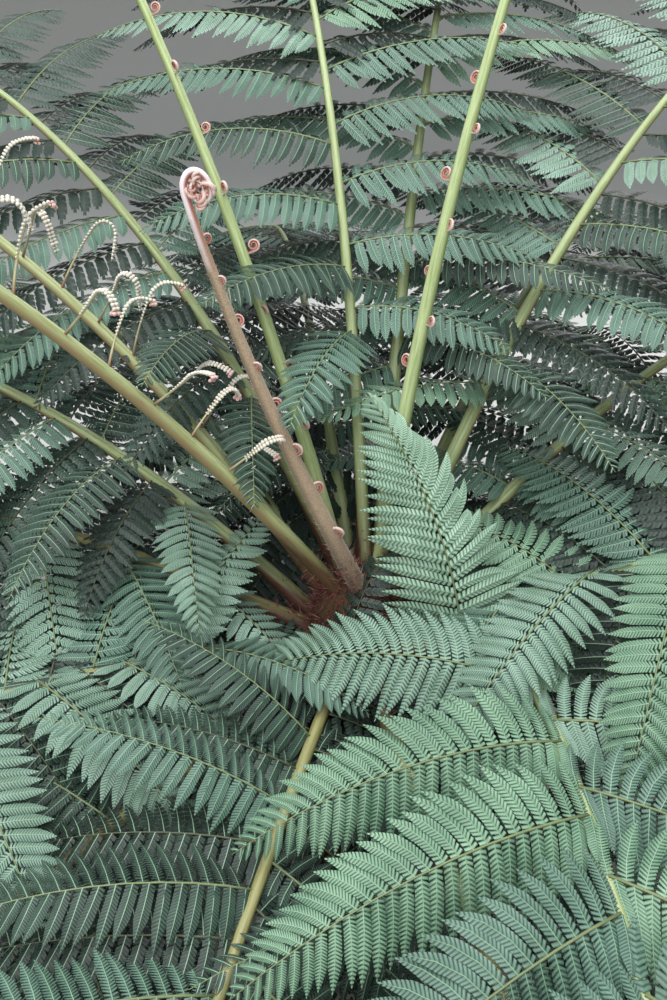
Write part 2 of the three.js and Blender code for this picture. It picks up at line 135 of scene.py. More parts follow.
def root_mantle():
    """Dry matted fern root: dull, nearly black in its folds and warm brown on its strands."""
    material, tree = fresh_material("fern_root_mantle")
    place = add(tree, "TexCoord", {})
    strands = add(tree, "Mapping", {"Vector": (place, "Object"), "Scale": (1.0, 1.0, 0.1)})
    fine = add(tree, "TexNoise", {"Vector": (strands, "Vector"), "Scale": 260.0, "Detail": 5.0})
    broad = add(tree, "TexNoise", {"Vector": (place, "Object"), "Scale": 22.0, "Detail": 4.0})
    dark = add(tree, "Mix", {0: (fine, "Fac"), 6: linear("#1d130d"), 7: linear("#6b4a33")}, data_type="RGBA")
    worn = add(tree, "Mix", {0: (broad, "Fac"), 6: (dark, 2), 7: linear("#4a3a2c")}, data_type="RGBA")
    bump = add(tree, "Bump", {"Height": (fine, "Fac"), "Strength": 0.9, "Distance": 0.003})
    shader = add(tree, "BsdfPrincipled", {"Base Color": (worn, 2), "Normal": (bump, "Normal"),
                                          "Roughness": 0.92, "Specular IOR Level": 0.2})
    add(tree, "OutputMaterial", {"Surface": (shader, "BSDF")})
    return material


trunk = draw_trunk()
trunk.name = "trunk_mantle"
roughen_trunk(trunk)
trunk.data.polygons.foreach_set("use_smooth", [True] * len(trunk.data.polygons))
trunk.data.materials.append(root_mantle())
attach(trunk, "root")
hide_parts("trunk")


# Feet of old fronds are left on the trunk, in the spiral in which the fronds grew: brown stumps about as
# long as a finger, which point up and out of the matted roots and are hollow and torn where they broke.
STUMPS = 46
STUMP_HEIGHTS = (70, 560)
STUMP_TURN = 137.5
STUMP_FOOT = 13.5
STUMP_SIDES = 12
STUMP_RINGS = ((15, 0.82), (16, 0.9), (15, 0.94))
STUMP_HOLLOW = (0.7, -7)
STUMP_STRETCH = 2.0
STUMP_DEPTH = 9.0
STUMP_LIFT = (48, 6)
STUMP_SIZE = (0.75, 1.2)
TORN = 2.2


def old_stump():
    """One stump along the upright axis: a tapering stalk with a hollow in its broken end."""
    bpy.ops.object.select_all(action="DESELECT")
    bpy.ops.mesh.primitive_circle_add(vertices=STUMP_SIDES, radius=STUMP_FOOT * MM, fill_type="NGON")
    piece = bpy.context.object
    bpy.ops.object.mode_set(mode="EDIT")
    height = 0
    for rise, share in (*STUMP_RINGS, (0, STUMP_HOLLOW[0]), (STUMP_HOLLOW[1], 0.8)):
        height += rise
        bpy.ops.mesh.extrude_region_move(TRANSFORM_OT_translate={"value": (0, 0, rise * MM)})
        bpy.ops.transform.resize(value=(share, share, 1), center_override=(0, 0, height * MM))
    bpy.ops.mesh.select_all(action="SELECT")
    bpy.ops.mesh.normals_make_consistent(inside=False)
    bpy.ops.object.mode_set(mode="OBJECT")
    return piece


def stump_places():
    """Where each stump stands, with the directions across, over and along it."""
    count = np.arange(STUMPS)
    rough = np.random.default_rng(5)
    low, high = STUMP_HEIGHTS
    height = low + (high - low) * (count + 0.5) / STUMPS
    turn = np.radians(count * STUMP_TURN + rough.normal(0, 4, STUMPS))
    radius = np.array([trunk_radius(z) for z in height]) - STUMP_DEPTH
    middle = np.array([bow(z) for z in height])
    place = np.stack([middle + radius * np.cos(turn), radius * np.sin(turn), height], -1)
    lift = np.radians(STUMP_LIFT[0] + rough.normal(0, STUMP_LIFT[1], STUMPS))
    flat = np.stack([np.cos(turn), np.sin(turn), turn * 0], -1)
    upright = np.array([0.0, 0.0, 1.0])
    along = flat * np.cos(lift)[:, None] + upright * np.sin(lift)[:, None]
    across = np.stack([-np.sin(turn), np.cos(turn), turn * 0], -1)
    return place, across, np.cross(along, across), along, rough.uniform(*STUMP_SIZE, STUMPS)


def torn_stalk():
    """Dead frond foot: dull grey-brown and fibrous, darker in its hollow and paler along its torn rim."""
    material, tree = fresh_material("dead_frond_foot")
    place = add(tree, "TexCoord", {})
    fibre = add(tree, "TexNoise", {"Vector": (place, "Object"), "Scale": 180.0, "Detail": 5.0})
    way = add(tree, "Attribute", {}, attribute_name="stump_way")
    skin = add(tree, "Mix", {0: (fibre, "Fac"), 6: linear("#2b1c14"), 7: linear("#6d523c")}, data_type="RGBA")
    rim = add(tree, "MapRange", {"Value": (way, "Fac"), "From Min": 0.7, "From Max": 1.0})
    whole = add(tree, "Mix", {0: (rim, "Result"), 6: (skin, 2), 7: linear("#8c7358")}, data_type="RGBA")
    bump = add(tree, "Bump", {"Height": (fibre, "Fac"), "Strength": 0.8, "Distance": 0.002})
    shader = add(tree, "BsdfPrincipled", {"Base Color": (whole, 2), "Normal": (bump, "Normal"),
                                          "Roughness": 0.9, "Specular IOR Level": 0.2})
    add(tree, "OutputMaterial", {"Surface": (shader, "BSDF")})
    return material


# Grown fronds stand in rings round the top of the trunk. Each has a stout stem, green above and brown
# below, with a groove along its upper side, that rises, arches over and thins to a thread at its tip.
RINGS = {"low": (88, 585), "outer": (84, 640), "middle": (62, 695), "inner": (36, 740)}
SEAT_DEPTH = 45
PATH_STEPS = 60
STEM_BOW = 1.5
STEM_FOOT = 12.6
FOOT_FLARE = 7.0
FLARE_REACH = 50.0
STEM_TIP = 2.6
STEM_TAPER = 1.6
STEM_SIDES = 16
GROOVE = 0.2
GROOVE_WIDTH = 0.42
BROWN_FOOT = 320.0
GRAIN_STRETCH = 150.0
KEYS = "name ring seat heading lift end length bare leaf look"
FRONDS = [dict(zip(KEYS.split(), row[:10]), **row[10]) for row in (
    ("front_right", "outer", 312, 349, 15, -64, 2000, 140, 490, "light",
     {"turn": -79, "settle": 0.2, "right_from": 310, "shrink": 0.05, "roll": -10, "upright": 1,
      "fan": (27, 0.09, 0.05), "towards": 0.9, "cover": 1, "leaflet": 0.19,
      "moved": {0: (5, 1), 2: (-6, 1), 4: (-4, 1), 6: (-6, 1), 8: (-6, 1)},
      "colours": {0: "pale", 2: "bloom", 4: "fresh", 6: "fresh"}, "leaflets": {0: 0.3, 2: 0.215},
      "opens": {0: 68}}),
    ("back", "inner", 60, 102, 77, -28, 2250, 440, 410, "mid", {"pairs": 19, "foot": 9.6, "leaflet": 0.21}),
    ("right_high", "middle", 8, 38, 63, -20, 2250, 430, 470, "mid", {}),
    ("left_high", "outer", 148, 168, 44, -66, 2150, 330, 460, "mid", {"colours": {0: "bloom", 1: "bloom"}}),
    ("left", "outer", 175, 179, 29, -76, 2100, 240, 460, "light",
     {"fan": (40, 0.08, 0.16), "moved": {1: (-14, 1)}, "colours": {1: "bloom", 3: "bloom"}}),
    ("front_left", "outer", 204, 209, 15, -68, 2000, 220, 460, "light",
     {"fan": (40, 0.12, 0.16), "cover": 1, "moved": {2: (18, 1.3)}, "colours": {2: "bloom"}}),
    ("front", "outer", 256, 256, 3, -50, 2000, 170, 450, "deep",
     {"roll": -18, "foot": 8.5, "short": (35, 1, 72, 0.8)}),
    ("right_side", "outer", 338, 345, 34, -60, 2100, 180, 480, "light",
     {"roll": 14, "fan": (40, 0.1, 0.16), "towards": 0.5, "cover": 1, "leaflet": 0.18,
      "moved": {0: (-16, 0.65), 2: (4, 0.72)}}),
    ("right", "outer", 5, 6, 30, -62, 2100, 240, 460, "light",
     {"fan": (25, 0.1, 0.16), "cover": 1, "leaflet": 0.18}),
    ("right_back", "outer", 32, 24, 44, -55, 2200, 330, 460, "light", {}),
    ("back_right", "middle", 48, 78, 74, -25, 2200, 420, 440, "mid", {}),
    ("back_left", "middle", 103, 149, 62, -30, 2150, 400, 450, "deep", {}),
    ("far_back", "outer", 88, 100, 42, -58, 2150, 330, 460, "deep", {}),
    ("far_right", "outer", 60, 57, 46, -55, 2150, 330, 460, "mid", {}),
    ("far_left", "outer", 118, 127, 32, -64, 2100, 300, 460, "deep", {}),
    ("low_front_left", "low", 234, 231, 8, -50, 1950, 260, 450, "deep",
     {"pairs": 12, "colours": {2: "bloom"}}),
    ("low_front", "low", 284, 284, 4, -46, 1850, 260, 450, "deep", {"pairs": 12}),
    ("low_front_right", "low", 332, 327, 6, -50, 1950, 260, 450, "deep", {"pairs": 12}),
    ("low_right", "low", 28, 32, 8, -50, 1950, 260, 450, "deep", {"pairs": 12}),
    ("low_back", "low", 96, 94, 8, -52, 1950, 260, 450, "deep", {"pairs": 12}),
    ("low_left", "low", 165, 160, 4, -48, 1950, 260, 450, "deep", {"pairs": 12}),
)]
UP = np.array([0.0, 0.0, 1.0])
FORWARD = np.array([0.0, 1.0, 0.0])


def unit(vectors):
    """Vectors of length one in the same directions."""
    return vectors / np.linalg.norm(vectors, axis=-1, keepdims=True)


def square_to(axis, vectors):
    """The part of some vectors that is square to an axis, at length one."""
    return unit(vectors - axis * np.sum(vectors * axis, -1, keepdims=True))


def stem_path(frond):
    """Points and directions along a stem's way, one step apart."""
    radius, height = RINGS[frond["ring"]]
    u = (np.arange(PATH_STEPS + 1) + 0.5) / PATH_STEPS
    settled = np.minimum(1, u / frond.get("settle", 1))
    slope = np.radians(frond["lift"] + (frond["end"] - frond["lift"]) * u ** STEM_BOW)
    heading = np.radians(frond["heading"] + frond.get("turn", 0) * settled ** 2 * (3 - 2 * settled))
    along = np.stack([np.cos(slope) * np.cos(heading), np.cos(slope) * np.sin(heading), np.sin(slope)], -1)
    seat = math.radians(frond["seat"])
    start = np.array([radius * math.cos(seat), radius * math.sin(seat), height])
    steps = np.cumsum(along[:-1], axis=0) * frond["length"] / PATH_STEPS
    return np.vstack([start, start + steps]), along


def stem_at(frond, ways):
    """Points of a stem at ways along it, with the directions along, to its left and over its upper side."""
    place = np.clip(np.asarray(ways, float) / frond["length"] * PATH_STEPS, 0, PATH_STEPS - 1e-6)
    i = place.astype(int)
    t = (place - i)[..., None]
    points, directions = frond["path"]
    point = points[i] * (1 - t) + points[i + 1] * t
    along = unit(directions[i] * (1 - t) + directions[i + 1] * t)
    left = unit(np.cross(UP, along))
    return point, along, left, np.cross(along, left)


def stem_radius(frond, ways):
    """Radius of a stem at ways along it."""
    share = np.clip(np.asarray(ways, float) / frond["length"], 0, 1)
    return (frond.get("tip", STEM_TIP)
            + frond.get("foot", STEM_FOOT) * (1 - share) ** frond.get("taper", STEM_TAPER))


def round_angles(sides):
    """Even angles all the way round."""
    return np.arange(sides) / sides * 2 * np.pi


def joined(name, points, faces, material, slot, nodes=(), smooth=True):
    """One piece of many like things, from points in millimetres and groups of faces."""
    mesh = bpy.data.meshes.new(name)
    sizes = np.concatenate([np.full(len(group), group.shape[1]) for group in faces])
    corners = np.concatenate([group.ravel() for group in faces])
    mesh.vertices.add(len(points))
    mesh.vertices.foreach_set("co", (points * MM).astype(np.float32).ravel())
    mesh.loops.add(len(corners))
    mesh.loops.foreach_set("vertex_index", corners.astype(np.int32))
    mesh.polygons.add(len(sizes))
    mesh.polygons.foreach_set("loop_start", np.concatenate([[0], np.cumsum(sizes)[:-1]]).astype(np.int32))
    mesh.polygons.foreach_set("use_smooth", np.full(len(sizes), smooth))
    mesh.update(calc_edges=True)
    mesh.validate()
    mesh.materials.append(material)
    piece = bpy.data.objects.new(name, mesh)
    bpy.context.scene.collection.objects.link(piece)
    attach(piece, "root")
    if nodes:
        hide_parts(*nodes)
    return piece


def tubes(name, lines, sides, material, slot, nodes, groove=0.0):
    """One piece of round tubes along rows of points, with closed ends and a groove on their upper side."""
    points, across, over, radii = lines
    rows, steps = points.shape[:2]
    angle = round_angles(sides)
    from_top = angle - np.pi / 2
    dip = 1 - groove * np.exp(-(from_top / GROOVE_WIDTH) ** 2) * np.cos(from_top * 1.2)
    reach = radii[..., None, None] * dip[:, None]
    rim = (points[:, :, None]
           + across[:, :, None] * np.cos(angle)[:, None] * reach
           + over[:, :, None] * np.sin(angle)[:, None] * reach)
    corner = np.arange(rows * steps * sides).reshape(rows, steps, sides)
    after = np.roll(corner, -1, axis=2)
    quads = np.stack([corner[:, :-1], after[:, :-1], after[:, 1:], corner[:, 1:]], -1).reshape(-1, 4)
    ends = np.vstack([corner[:, 0, ::-1], corner[:, -1]])
    return joined(name, rim.reshape(-1, 3), [quads, ends], material, slot, nodes)


def halves(fronds):
    """The nodes of some grown fronds."""
    return [frond["name"] + half for frond in fronds for half in ("_lower", "_upper")]


def under_share(sides):
    """How far each side of a tube is on its underside, from nought on top to one."""
    return 0.5 - 0.5 * np.sin(round_angles(sides))


def attribute(piece, name, values, domain="POINT"):
    """Gives a mesh one number for each of its points or corners."""
    piece.data.attributes.new(name, "FLOAT", domain).data.foreach_set("value", values.astype(np.float32))


def lengthways_grain(piece, ways, sides):
    """Gives tubes places round and along them, so that a pattern runs lengthways."""
    angle = round_angles(sides)
    along = np.asarray(ways, float) / GRAIN_STRETCH
    row = np.arange(along.shape[0])[:, None, None] * 3.7
    each = np.ones((*along.shape, sides))
    places = np.stack([each * np.cos(angle), each * np.sin(angle), each * along[..., None] + row], -1)
    grain = piece.data.attributes.new("grain", "FLOAT_VECTOR", "POINT")
    grain.data.foreach_set("vector", places.astype(np.float32).ravel())


def frond_stalk(name, above, below, foot, groove):
    """Waxy living stem skin: slightly glossy, streaked lengthways, pale in its groove, and below either tan
    or a darker green that is painted shade.
    """
    material, tree = fresh_material(name)
    grain = add(tree, "Attribute", {}, attribute_name="grain")
    streak = add(tree, "TexNoise", {"Vector": (grain, "Vector"), "Scale": 2.6, "Detail": 5.0,
                                    "Roughness": 0.7})
    side = add(tree, "Attribute", {}, attribute_name="under")
    near = add(tree, "Attribute", {}, attribute_name="near_foot")
    light = add(tree, "HueSaturation", {"Color": linear(above), "Value": 1.22, "Saturation": 0.85})
    deep = add(tree, "HueSaturation", {"Color": linear(above), "Value": 0.72, "Saturation": 1.1})
    sharp = add(tree, "MapRange", {"Value": (streak, "Fac"), "From Min": 0.36, "From Max": 0.64})
    top = add(tree, "Mix", {0: (sharp, "Result"), 6: (deep, "Color"), 7: (light, "Color")}, data_type="RGBA")
    line = add(tree, "MapRange", {"Value": (side, "Fac"), "From Min": 0.0, "From Max": 0.05, "To Min": 0.7,
                                  "To Max": 0.0})
    top = add(tree, "Mix", {0: (line, "Result"), 6: (top, 2), 7: linear(groove)}, data_type="RGBA")
    edge = add(tree, "Math", {0: (side, "Fac"), 1: (streak, "Fac")}, operation="ADD")
    lower = add(tree, "MapRange", {"Value": (edge, "Value"), "From Min": 0.82, "From Max": 1.16})
    skin = add(tree, "Mix", {0: (lower, "Result"), 6: (top, 2), 7: linear(below)}, data_type="RGBA")
    rust = add(tree, "Math", {0: (near, "Fac"), 1: (edge, "Value")}, operation="MULTIPLY")
    base = add(tree, "MapRange", {"Value": (rust, "Value"), "From Min": 0.2, "From Max": 0.62})
    whole = add(tree, "Mix", {0: (base, "Result"), 6: (skin, 2), 7: linear(foot)}, data_type="RGBA")
    bump = add(tree, "Bump", {"Height": (streak, "Fac"), "Strength": 0.3, "Distance": 0.001})
    shader = add(tree, "BsdfPrincipled", {"Base Color": (whole, 2), "Normal": (bump, "Normal"),
                                          "Roughness": 0.42, "Specular IOR Level": 0.45})
    add(tree, "OutputMaterial", {"Surface": (shader, "BSDF")})
    return material


def stems(name, fronds, material):
    """The stems of some fronds as one piece, with how far each point is under its stem and from the foot."""
    ways = [np.concatenate([[0], np.linspace(0, frond["length"], PATH_STEPS + 1)]) for frond in fronds]
    stations = [stem_at(frond, way) for frond, way in zip(fronds, ways)]
    points, along, left, over = (np.stack(parts) for parts in zip(*stations))
    points[:, 0] -= along[:, 0] * SEAT_DEPTH
    radii = np.stack([stem_radius(frond, way) for frond, way in zip(fronds, ways)])
    radii = radii + FOOT_FLARE * np.exp(-np.stack(ways) / FLARE_REACH)
    lines = points, left, over, radii
    piece = tubes(name, lines, STEM_SIDES, material, "leaf", halves(fronds), GROOVE)
    under = np.broadcast_to(under_share(STEM_SIDES), (*radii.shape, STEM_SIDES))
    near = np.clip(1 - np.stack(ways) / BROWN_FOOT, 0, 1)[..., None] * np.ones(STEM_SIDES)
    attribute(piece, "under", under.ravel())
    attribute(piece, "near_foot", near.ravel())
    lengthways_grain(piece, np.stack(ways), STEM_SIDES)


def stumps():
    """All stumps as one piece: copies of the one stump, each at its own place."""
    model = old_stump()
    corners = np.array([corner.co for corner in model.data.vertices]) / MM
    faces = [list(face.vertices) for face in model.data.polygons]
    bpy.data.objects.remove(model)
    place, across, over, along, size = stump_places()
    corners = corners * (1, 1, STUMP_STRETCH)
    axes = np.stack([across, over, along], 1) * size[:, None, None]
    points = place[:, None] + np.einsum("pk,nkd->npd", corners, axes)
    torn = np.random.default_rng(6).normal(0, TORN, (STUMPS, len(corners), 1))
    at_end = corners[:, 2] > 0.8 * corners[:, 2].max()
    points += along[:, None] * torn * at_end[:, None]
    first = (np.arange(STUMPS) * len(corners))[:, None, None]
    groups = [np.array([face for face in faces if len(face) == sides]) for sides in (4, STUMP_SIDES)]
    groups = [(group + first).reshape(-1, group.shape[1]) for group in groups]
    piece = joined("old_frond_feet", points.reshape(-1, 3), groups, torn_stalk(), "bark")
    attribute(piece, "stump_way", np.tile(corners[:, 2] / corners[:, 2].max(), STUMPS))


for frond in FRONDS:
    frond["path"] = stem_path(frond)
stumps()

YELLOW_STEMS = {"front", "front_left", "left", "low_front", "low_front_left"}
stems("stems_green", [frond for frond in FRONDS if frond["name"] not in YELLOW_STEMS],
      frond_stalk("fern_stalk_green", "#93a46e", "#8f7b58", "#4c3226", "#b4bd92"))
stems("stems_yellow", [frond for frond in FRONDS if frond["name"] in YELLOW_STEMS],
      frond_stalk("fern_stalk_yellow", "#8b8a55", "#7c6541", "#4c3226", "#a3a276"))


# Each frond carries its leaves in two rows. A leaf's rib is thin and woody, starts out from the stem and
# bows down. It stands where its solid does, save for the few that are moved: the raise and reach that
# the solid took are found by its tip.
PAIRS = 15
CROWDING = 1.12
SIDE_STEP = 0.35
LONGEST_AT = 0.34
FOOT_SHRINK = 0.32
TIP_SHRINK = 0.8
LEAF_LEAST = 0.05
LEAF_DROOP = 42
LEAF_RAISE = 10
FOOT_RAISE = 24
FOOT_SHARE = 0.15
LEAF_OPEN = (106, 66, 0.4)
LEAF_FACE = (0.4, 0.6)
UPRIGHT_LEAN = 3
FACING = 18
VARY = (7, 4)
VARY_STEPS = (3.1, 2.4)
LEAF_TRIES = (0, 8, -8, 16, -16, 24, -24)
LEAF_REACHES = (1, 0.8, 0.6)
BEND_AT = 0.5
TIP_FOUND = 1.2
SEATED_HIGH = (0.3, 1.0)
LEAFLET_LENGTH = 0.172
LEAFLET_OPEN = (84, 34)
LEAFLET_LIKE_LEAF = 0.5
BETWEEN_RAISE = -15
BETWEEN_REACH = 0.9
FOOT_LEAVES = {
    **dict.fromkeys(("front", "low_front", "low_front_left", "low_front_right", "low_left", "low_right",
                     "low_back"), (55, 205, 4)),
    "far_left": (110, 260, 4), "far_back": (110, 290, 4), "far_right": (110, 290, 4),
}
FOOT_LEAF_RAISE = -32
FOOT_LEAF_REACH = 0.85
BETWEEN_FROM = {"front_right": 1000, "back": 900}
RIB_STEPS = 11
RIB_SIDES = 4
RIB_FOOT = 2.2
RIB_TIP = 0.7
RIB_LEAST = 0.45


def leaf_roots(frond, later=0.0):
    """Share of the leafy part, side and way along the stem of each leaf, and if it is past the bend."""
    pairs = frond.get("pairs", PAIRS)
    side = np.tile([1, -1], pairs)
    late = np.where(side < 0, SIDE_STEP, 0)
    x = 1 - (1 - np.minimum(1, (np.repeat(np.arange(pairs), 2) + late + later) / pairs)) ** CROWDING
    way = frond["bare"] + (frond["length"] - frond["bare"]) * x
    kept = (side > 0) | (way >= frond.get("right_from", 0))
    x, side, way = x[kept], side[kept], way[kept]
    bend = way[(side > 0) & (way > frond["length"] * BEND_AT)][0]
    return x, side, way, way >= bend


def leaf_share(frond, x):
    """Length of a leaf at a share of the leafy part, in lengths of the longest."""
    from_longest = x - LONGEST_AT
    below = 1 - frond.get("shrink", FOOT_SHRINK) * (from_longest / LONGEST_AT) ** 2
    above = np.maximum(LEAF_LEAST, 1 - (from_longest / (1 - LONGEST_AT)) ** 2) ** TIP_SHRINK
    return np.where(from_longest < 0, below, above)


def leaf_arcs(frond, x, side, way, raised, reach):
    """The ribs of leaves: each an arc that starts out from the stem and bends down."""
    point, along, left, over = stem_at(frond, way)
    vary = np.sin(VARY_STEPS[0] * frond["seat"] + VARY_STEPS[1] * way)
    fan, fan_at, fan_wide = frond.get("fan", (0, 0, 1))
    more = fan * np.exp(-((x - fan_at) / fan_wide) ** 2)
    open_ = np.radians(LEAF_OPEN[0] - LEAF_OPEN[1] * x ** LEAF_OPEN[2] + VARY[1] * vary + more)[:, None]
    roll = side * (frond.get("roll", 0) + FACING * left[:, 1])
    early = FOOT_RAISE * np.maximum(0, 1 - x / FOOT_SHARE)
    up = np.radians(LEAF_RAISE + early + raised + roll)[:, None]
    out = unit(along * np.cos(open_)
               + left * side[:, None] * np.sin(open_) * np.cos(up)
               + over * np.sin(open_) * np.sin(up))
    face = over * LEAF_FACE[0] + UP * LEAF_FACE[1] - FORWARD * frond.get("towards", 0)
    if frond.get("upright"):
        first = (x == 0) & (side > 0)
        lean = np.radians(UPRIGHT_LEAN + np.abs(np.broadcast_to(raised, x.shape)[first]))[:, None]
        out[first] = unit(UP * np.cos(lean) - along[first] * np.sin(lean))
        face[first] = -FORWARD
    return {"point": point, "out": out, "down": unit(out * out[:, 2:] - UP),
            "face": face,
            "length": frond["leaf"] * leaf_share(frond, x) * reach,
            "bend": np.radians(LEAF_DROOP - VARY[0] * vary)}


def leaf_at(arcs, share):
    """Points of leaf ribs at shares of their length, with the directions along, over and across."""
    turn = (arcs["bend"][:, None] * share)[..., None]
    per_bend = (arcs["length"] / arcs["bend"])[:, None, None]
    out, down = arcs["out"][:, None], arcs["down"][:, None]
    point = arcs["point"][:, None] + per_bend * (out * np.sin(turn) + down * (1 - np.cos(turn)))
    along = out * np.cos(turn) + down * np.sin(turn)
    face = arcs["face"][:, None]
    over = square_to(along, face)
    return point, along, over, np.cross(over, along)


def corners_of(node):
    """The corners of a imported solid, in millimetres."""
    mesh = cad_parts[node].data
    flat = np.empty(len(mesh.vertices) * 3)
    mesh.vertices.foreach_get("co", flat)
    return flat.reshape(-1, 3) / MM


def carried_leaves(frond):
    """The ribs of the leaves that the frond's solids carry."""
    x, side, way, upper = leaf_roots(frond)
    solids = [corners_of(frond["name"] + half) for half in ("_lower", "_upper")]
    raised = np.zeros(len(x))
    reach = np.zeros(len(x))
    for share in LEAF_REACHES:
        for degrees in LEAF_TRIES:
            arcs = leaf_arcs(frond, x, side, way, degrees, share)
            tips = leaf_at(arcs, np.array([1.0]))[0][:, 0]
            for i in np.flatnonzero(reach == 0):
                gap = np.linalg.norm(solids[int(upper[i])] - tips[i], axis=1).min()
                if gap < TIP_FOUND:
                    raised[i], reach[i] = degrees, share
    for i, (degrees, longer) in frond.get("moved", {}).items():
        raised[i] += degrees
        reach[i] *= longer
    found = reach > 0
    return seated(frond, x[found], side[found], way[found], raised[found], reach[found], upper[found])


def leaves_between(frond):
    """Smaller, lower leaves that fill the steps between those of the solids."""
    x, side, way, upper = leaf_roots(frond, 0.5)
    kept = (way >= BETWEEN_FROM.get(frond["name"], 0)) & (x < 0.93)
    count = int(kept.sum())
    return seated(frond, x[kept], side[kept], way[kept], np.full(count, BETWEEN_RAISE),
                  np.full(count, BETWEEN_REACH), upper[kept])


def foot_leaves(frond):
    """Short hanging leaves along the foot of a stem, which hide the trunk from the front."""
    way = np.repeat(np.linspace(*FOOT_LEAVES[frond["name"]]), 2)
    side = np.tile([1, -1], len(way) // 2)
    each = np.ones(len(way))
    return seated(frond, each * 0, side, way, each * FOOT_LEAF_RAISE, each * FOOT_LEAF_REACH, each < 0)


def short_leaf(frond):
    """One short leaf that stands up before the heart of the crown."""
    way, side, raised, reach = (np.array([float(value)]) for value in frond["short"])
    return seated(frond, way * 0, side, way, raised, reach, way < 0)


def seated(frond, x, side, way, raised, reach, upper):
    """Leaf ribs that stand on the upper side of their stem."""
    arcs = leaf_arcs(frond, x, side, way, raised, reach)
    arcs["start"] = stem_radius(frond, way)
    arcs["cover"] = np.full(len(x), frond.get("cover", 0))
    share = np.full(len(x), frond.get("leaflet", LEAFLET_LENGTH))
    for i, own in frond.get("leaflets", {}).items():
        share[i] = own
    arcs["open"] = np.full(len(x), LEAFLET_OPEN[0])
    for i, own in frond.get("opens", {}).items():
        arcs["open"][i] = own
    arcs["longest"] = share * (LEAFLET_LIKE_LEAF * arcs["length"] + (1 - LEAFLET_LIKE_LEAF) * frond["leaf"])
    arcs["stem"] = stem_at(frond, way)[1]
    high = SEATED_HIGH[frond.get("cover", 0)]
    arcs["point"] = arcs["point"] + stem_at(frond, way)[3] * (arcs["start"] * high)[:, None]
    arcs["upper"] = upper
    return arcs


def rib_skin(name, light, dark):
    """Thin woody leaf rib: straw green and slightly glossy, or duller and browner where it is shaded."""
    material, tree = fresh_material(name)
    place = add(tree, "TexCoord", {})
    spots = add(tree, "TexNoise", {"Vector": (place, "Object"), "Scale": 40.0, "Detail": 3.0})
    skin = add(tree, "Mix", {0: (spots, "Fac"), 6: linear(light), 7: linear(dark)}, data_type="RGBA")
    shader = add(tree, "BsdfPrincipled", {"Base Color": (skin, 2), "Roughness": 0.5})
    add(tree, "OutputMaterial", {"Surface": (shader, "BSDF")})
    return material


def leaf_ribs(name, leaves, material):
    """The ribs of leaves as one piece of thin tapering tubes."""
    share = np.linspace(0, 1, RIB_STEPS)
    rows = [leaf_at(arcs, share) for arcs in leaves]
    points, across, over = (np.concatenate([row[i] for row in rows]) for i in (0, 3, 2))
    lengths = np.concatenate([arcs["length"] for arcs in leaves])
    size = RIB_LEAST + (1 - RIB_LEAST) * lengths / lengths.max()
    radii = size[:, None] * (RIB_TIP + (RIB_FOOT - RIB_TIP) * (1 - share) ** 1.3)
    tubes(name, (points, across, over, radii), RIB_SIDES, material, "leaf", halves(FRONDS))


for frond in FRONDS:
    frond["leaves"] = carried_leaves(frond)
    frond["fill"] = [leaves_between(frond)]
    if frond["name"] in FOOT_LEAVES:
        frond["fill"].append(foot_leaves(frond))
    if "short" in frond:
        frond["fill"].append(short_leaf(frond))

leaf_ribs("leaf_ribs", [frond["leaves"] for frond in FRONDS],
          rib_skin("leaf_rib_straw", "#868f62", "#68795a"))
leaf_ribs("leaf_ribs_between", [arcs for frond in FRONDS for arcs in frond["fill"]],
          rib_skin("leaf_rib_shaded", "#56553c", "#3c4636"))


# Leaflets stand close along both sides of each leaf rib. Each is a soft pointed blade, cut nearly to its
# own midrib into slanting lobes with slits between, painted dark there as shade and with a pale sheen painted
# on the lobes, blue-green with a bloom, and paler on its midrib, partly as a painted highlight on the ridge.
LEAFLET_PITCH = 17.5
LEAF_END = 0.985
LEAFLET_CROWDING = 1.15
ROW_STEP = (0.3, 0.7)
FIRST_LEAFLETS = (0.8, 0.18)
LEAFLET_SHRINK = (2.6, 0.85)
LEAFLET_TILT = 7
LEAFLET_HANG = 0.1
HANG_OUTWARD = 0.1
HANG_RISING = 0.22
LEAFLET_SWEEP = (0.12, 0.34)
LEAFLET_WIDTH = (0.94, 1.04)
TURN_VARY = 2.0
TILT_VARY = 4.0
LENGTH_VARY = (0.94, 1.04)
HANG_VARY = (0.6, 1.4)
SWEEP_VARY = (0.8, 1.25)
BLADE_SWELL = (0.86, 0.2)
TIP_FROM = 0.56
TIP_CURVE = 0.85
LOBE_SLANT = (0.62, 0.15, 6)
LOBE_SPAN = (0.06, 0.92)
LOBE_FRONT = 0.93
LOBE_ROOF = (0.2, 0.38)
MIDRIB_WAYS = (0.0, 0.34, 0.67, 1.0)
MIDRIB_HALVES = (0.6, 0.5, 0.4)
MIDRIB_RAISE = 0.5
LEAFLETS_FROM = (1.0, -0.8)
OVER_STEM = 22
OVER_STEM_REACH = 45.0
VIEWPOINT = np.array([-40.0, -1275.0, 1590.0])
VIEW_WAY = np.array([0.0, 0.883, -0.469])
OUT_OF_VIEW = 0.72
LOBES = ((1450, 18), (1900, 9), (9999, 6))
LOBES_BETWEEN = ((1450, 8), (9999, 5))
FINEST_LOBES = 18
MOST_FACES = 92000
# Leaf colours: "bloom", "blue_green" and "fresh" are the leaves' own. "pale" is lighter, for the upright
# front leaf, as painted light; "shade" and "under" are darker, for leaves deep in the crown, as painted
# shade.
LEAF_COLOURS = {
    "pale": ("#95b79e", "#74967d"),
    "bloom": ("#7f9f8e", "#63826e"),
    "blue_green": ("#5b7c6d", "#456655"),
    "fresh": ("#74997c", "#53795f"),
    "shade": ("#385245", "#253a30"),
    "under": ("#273b32", "#1a2a23"),
}
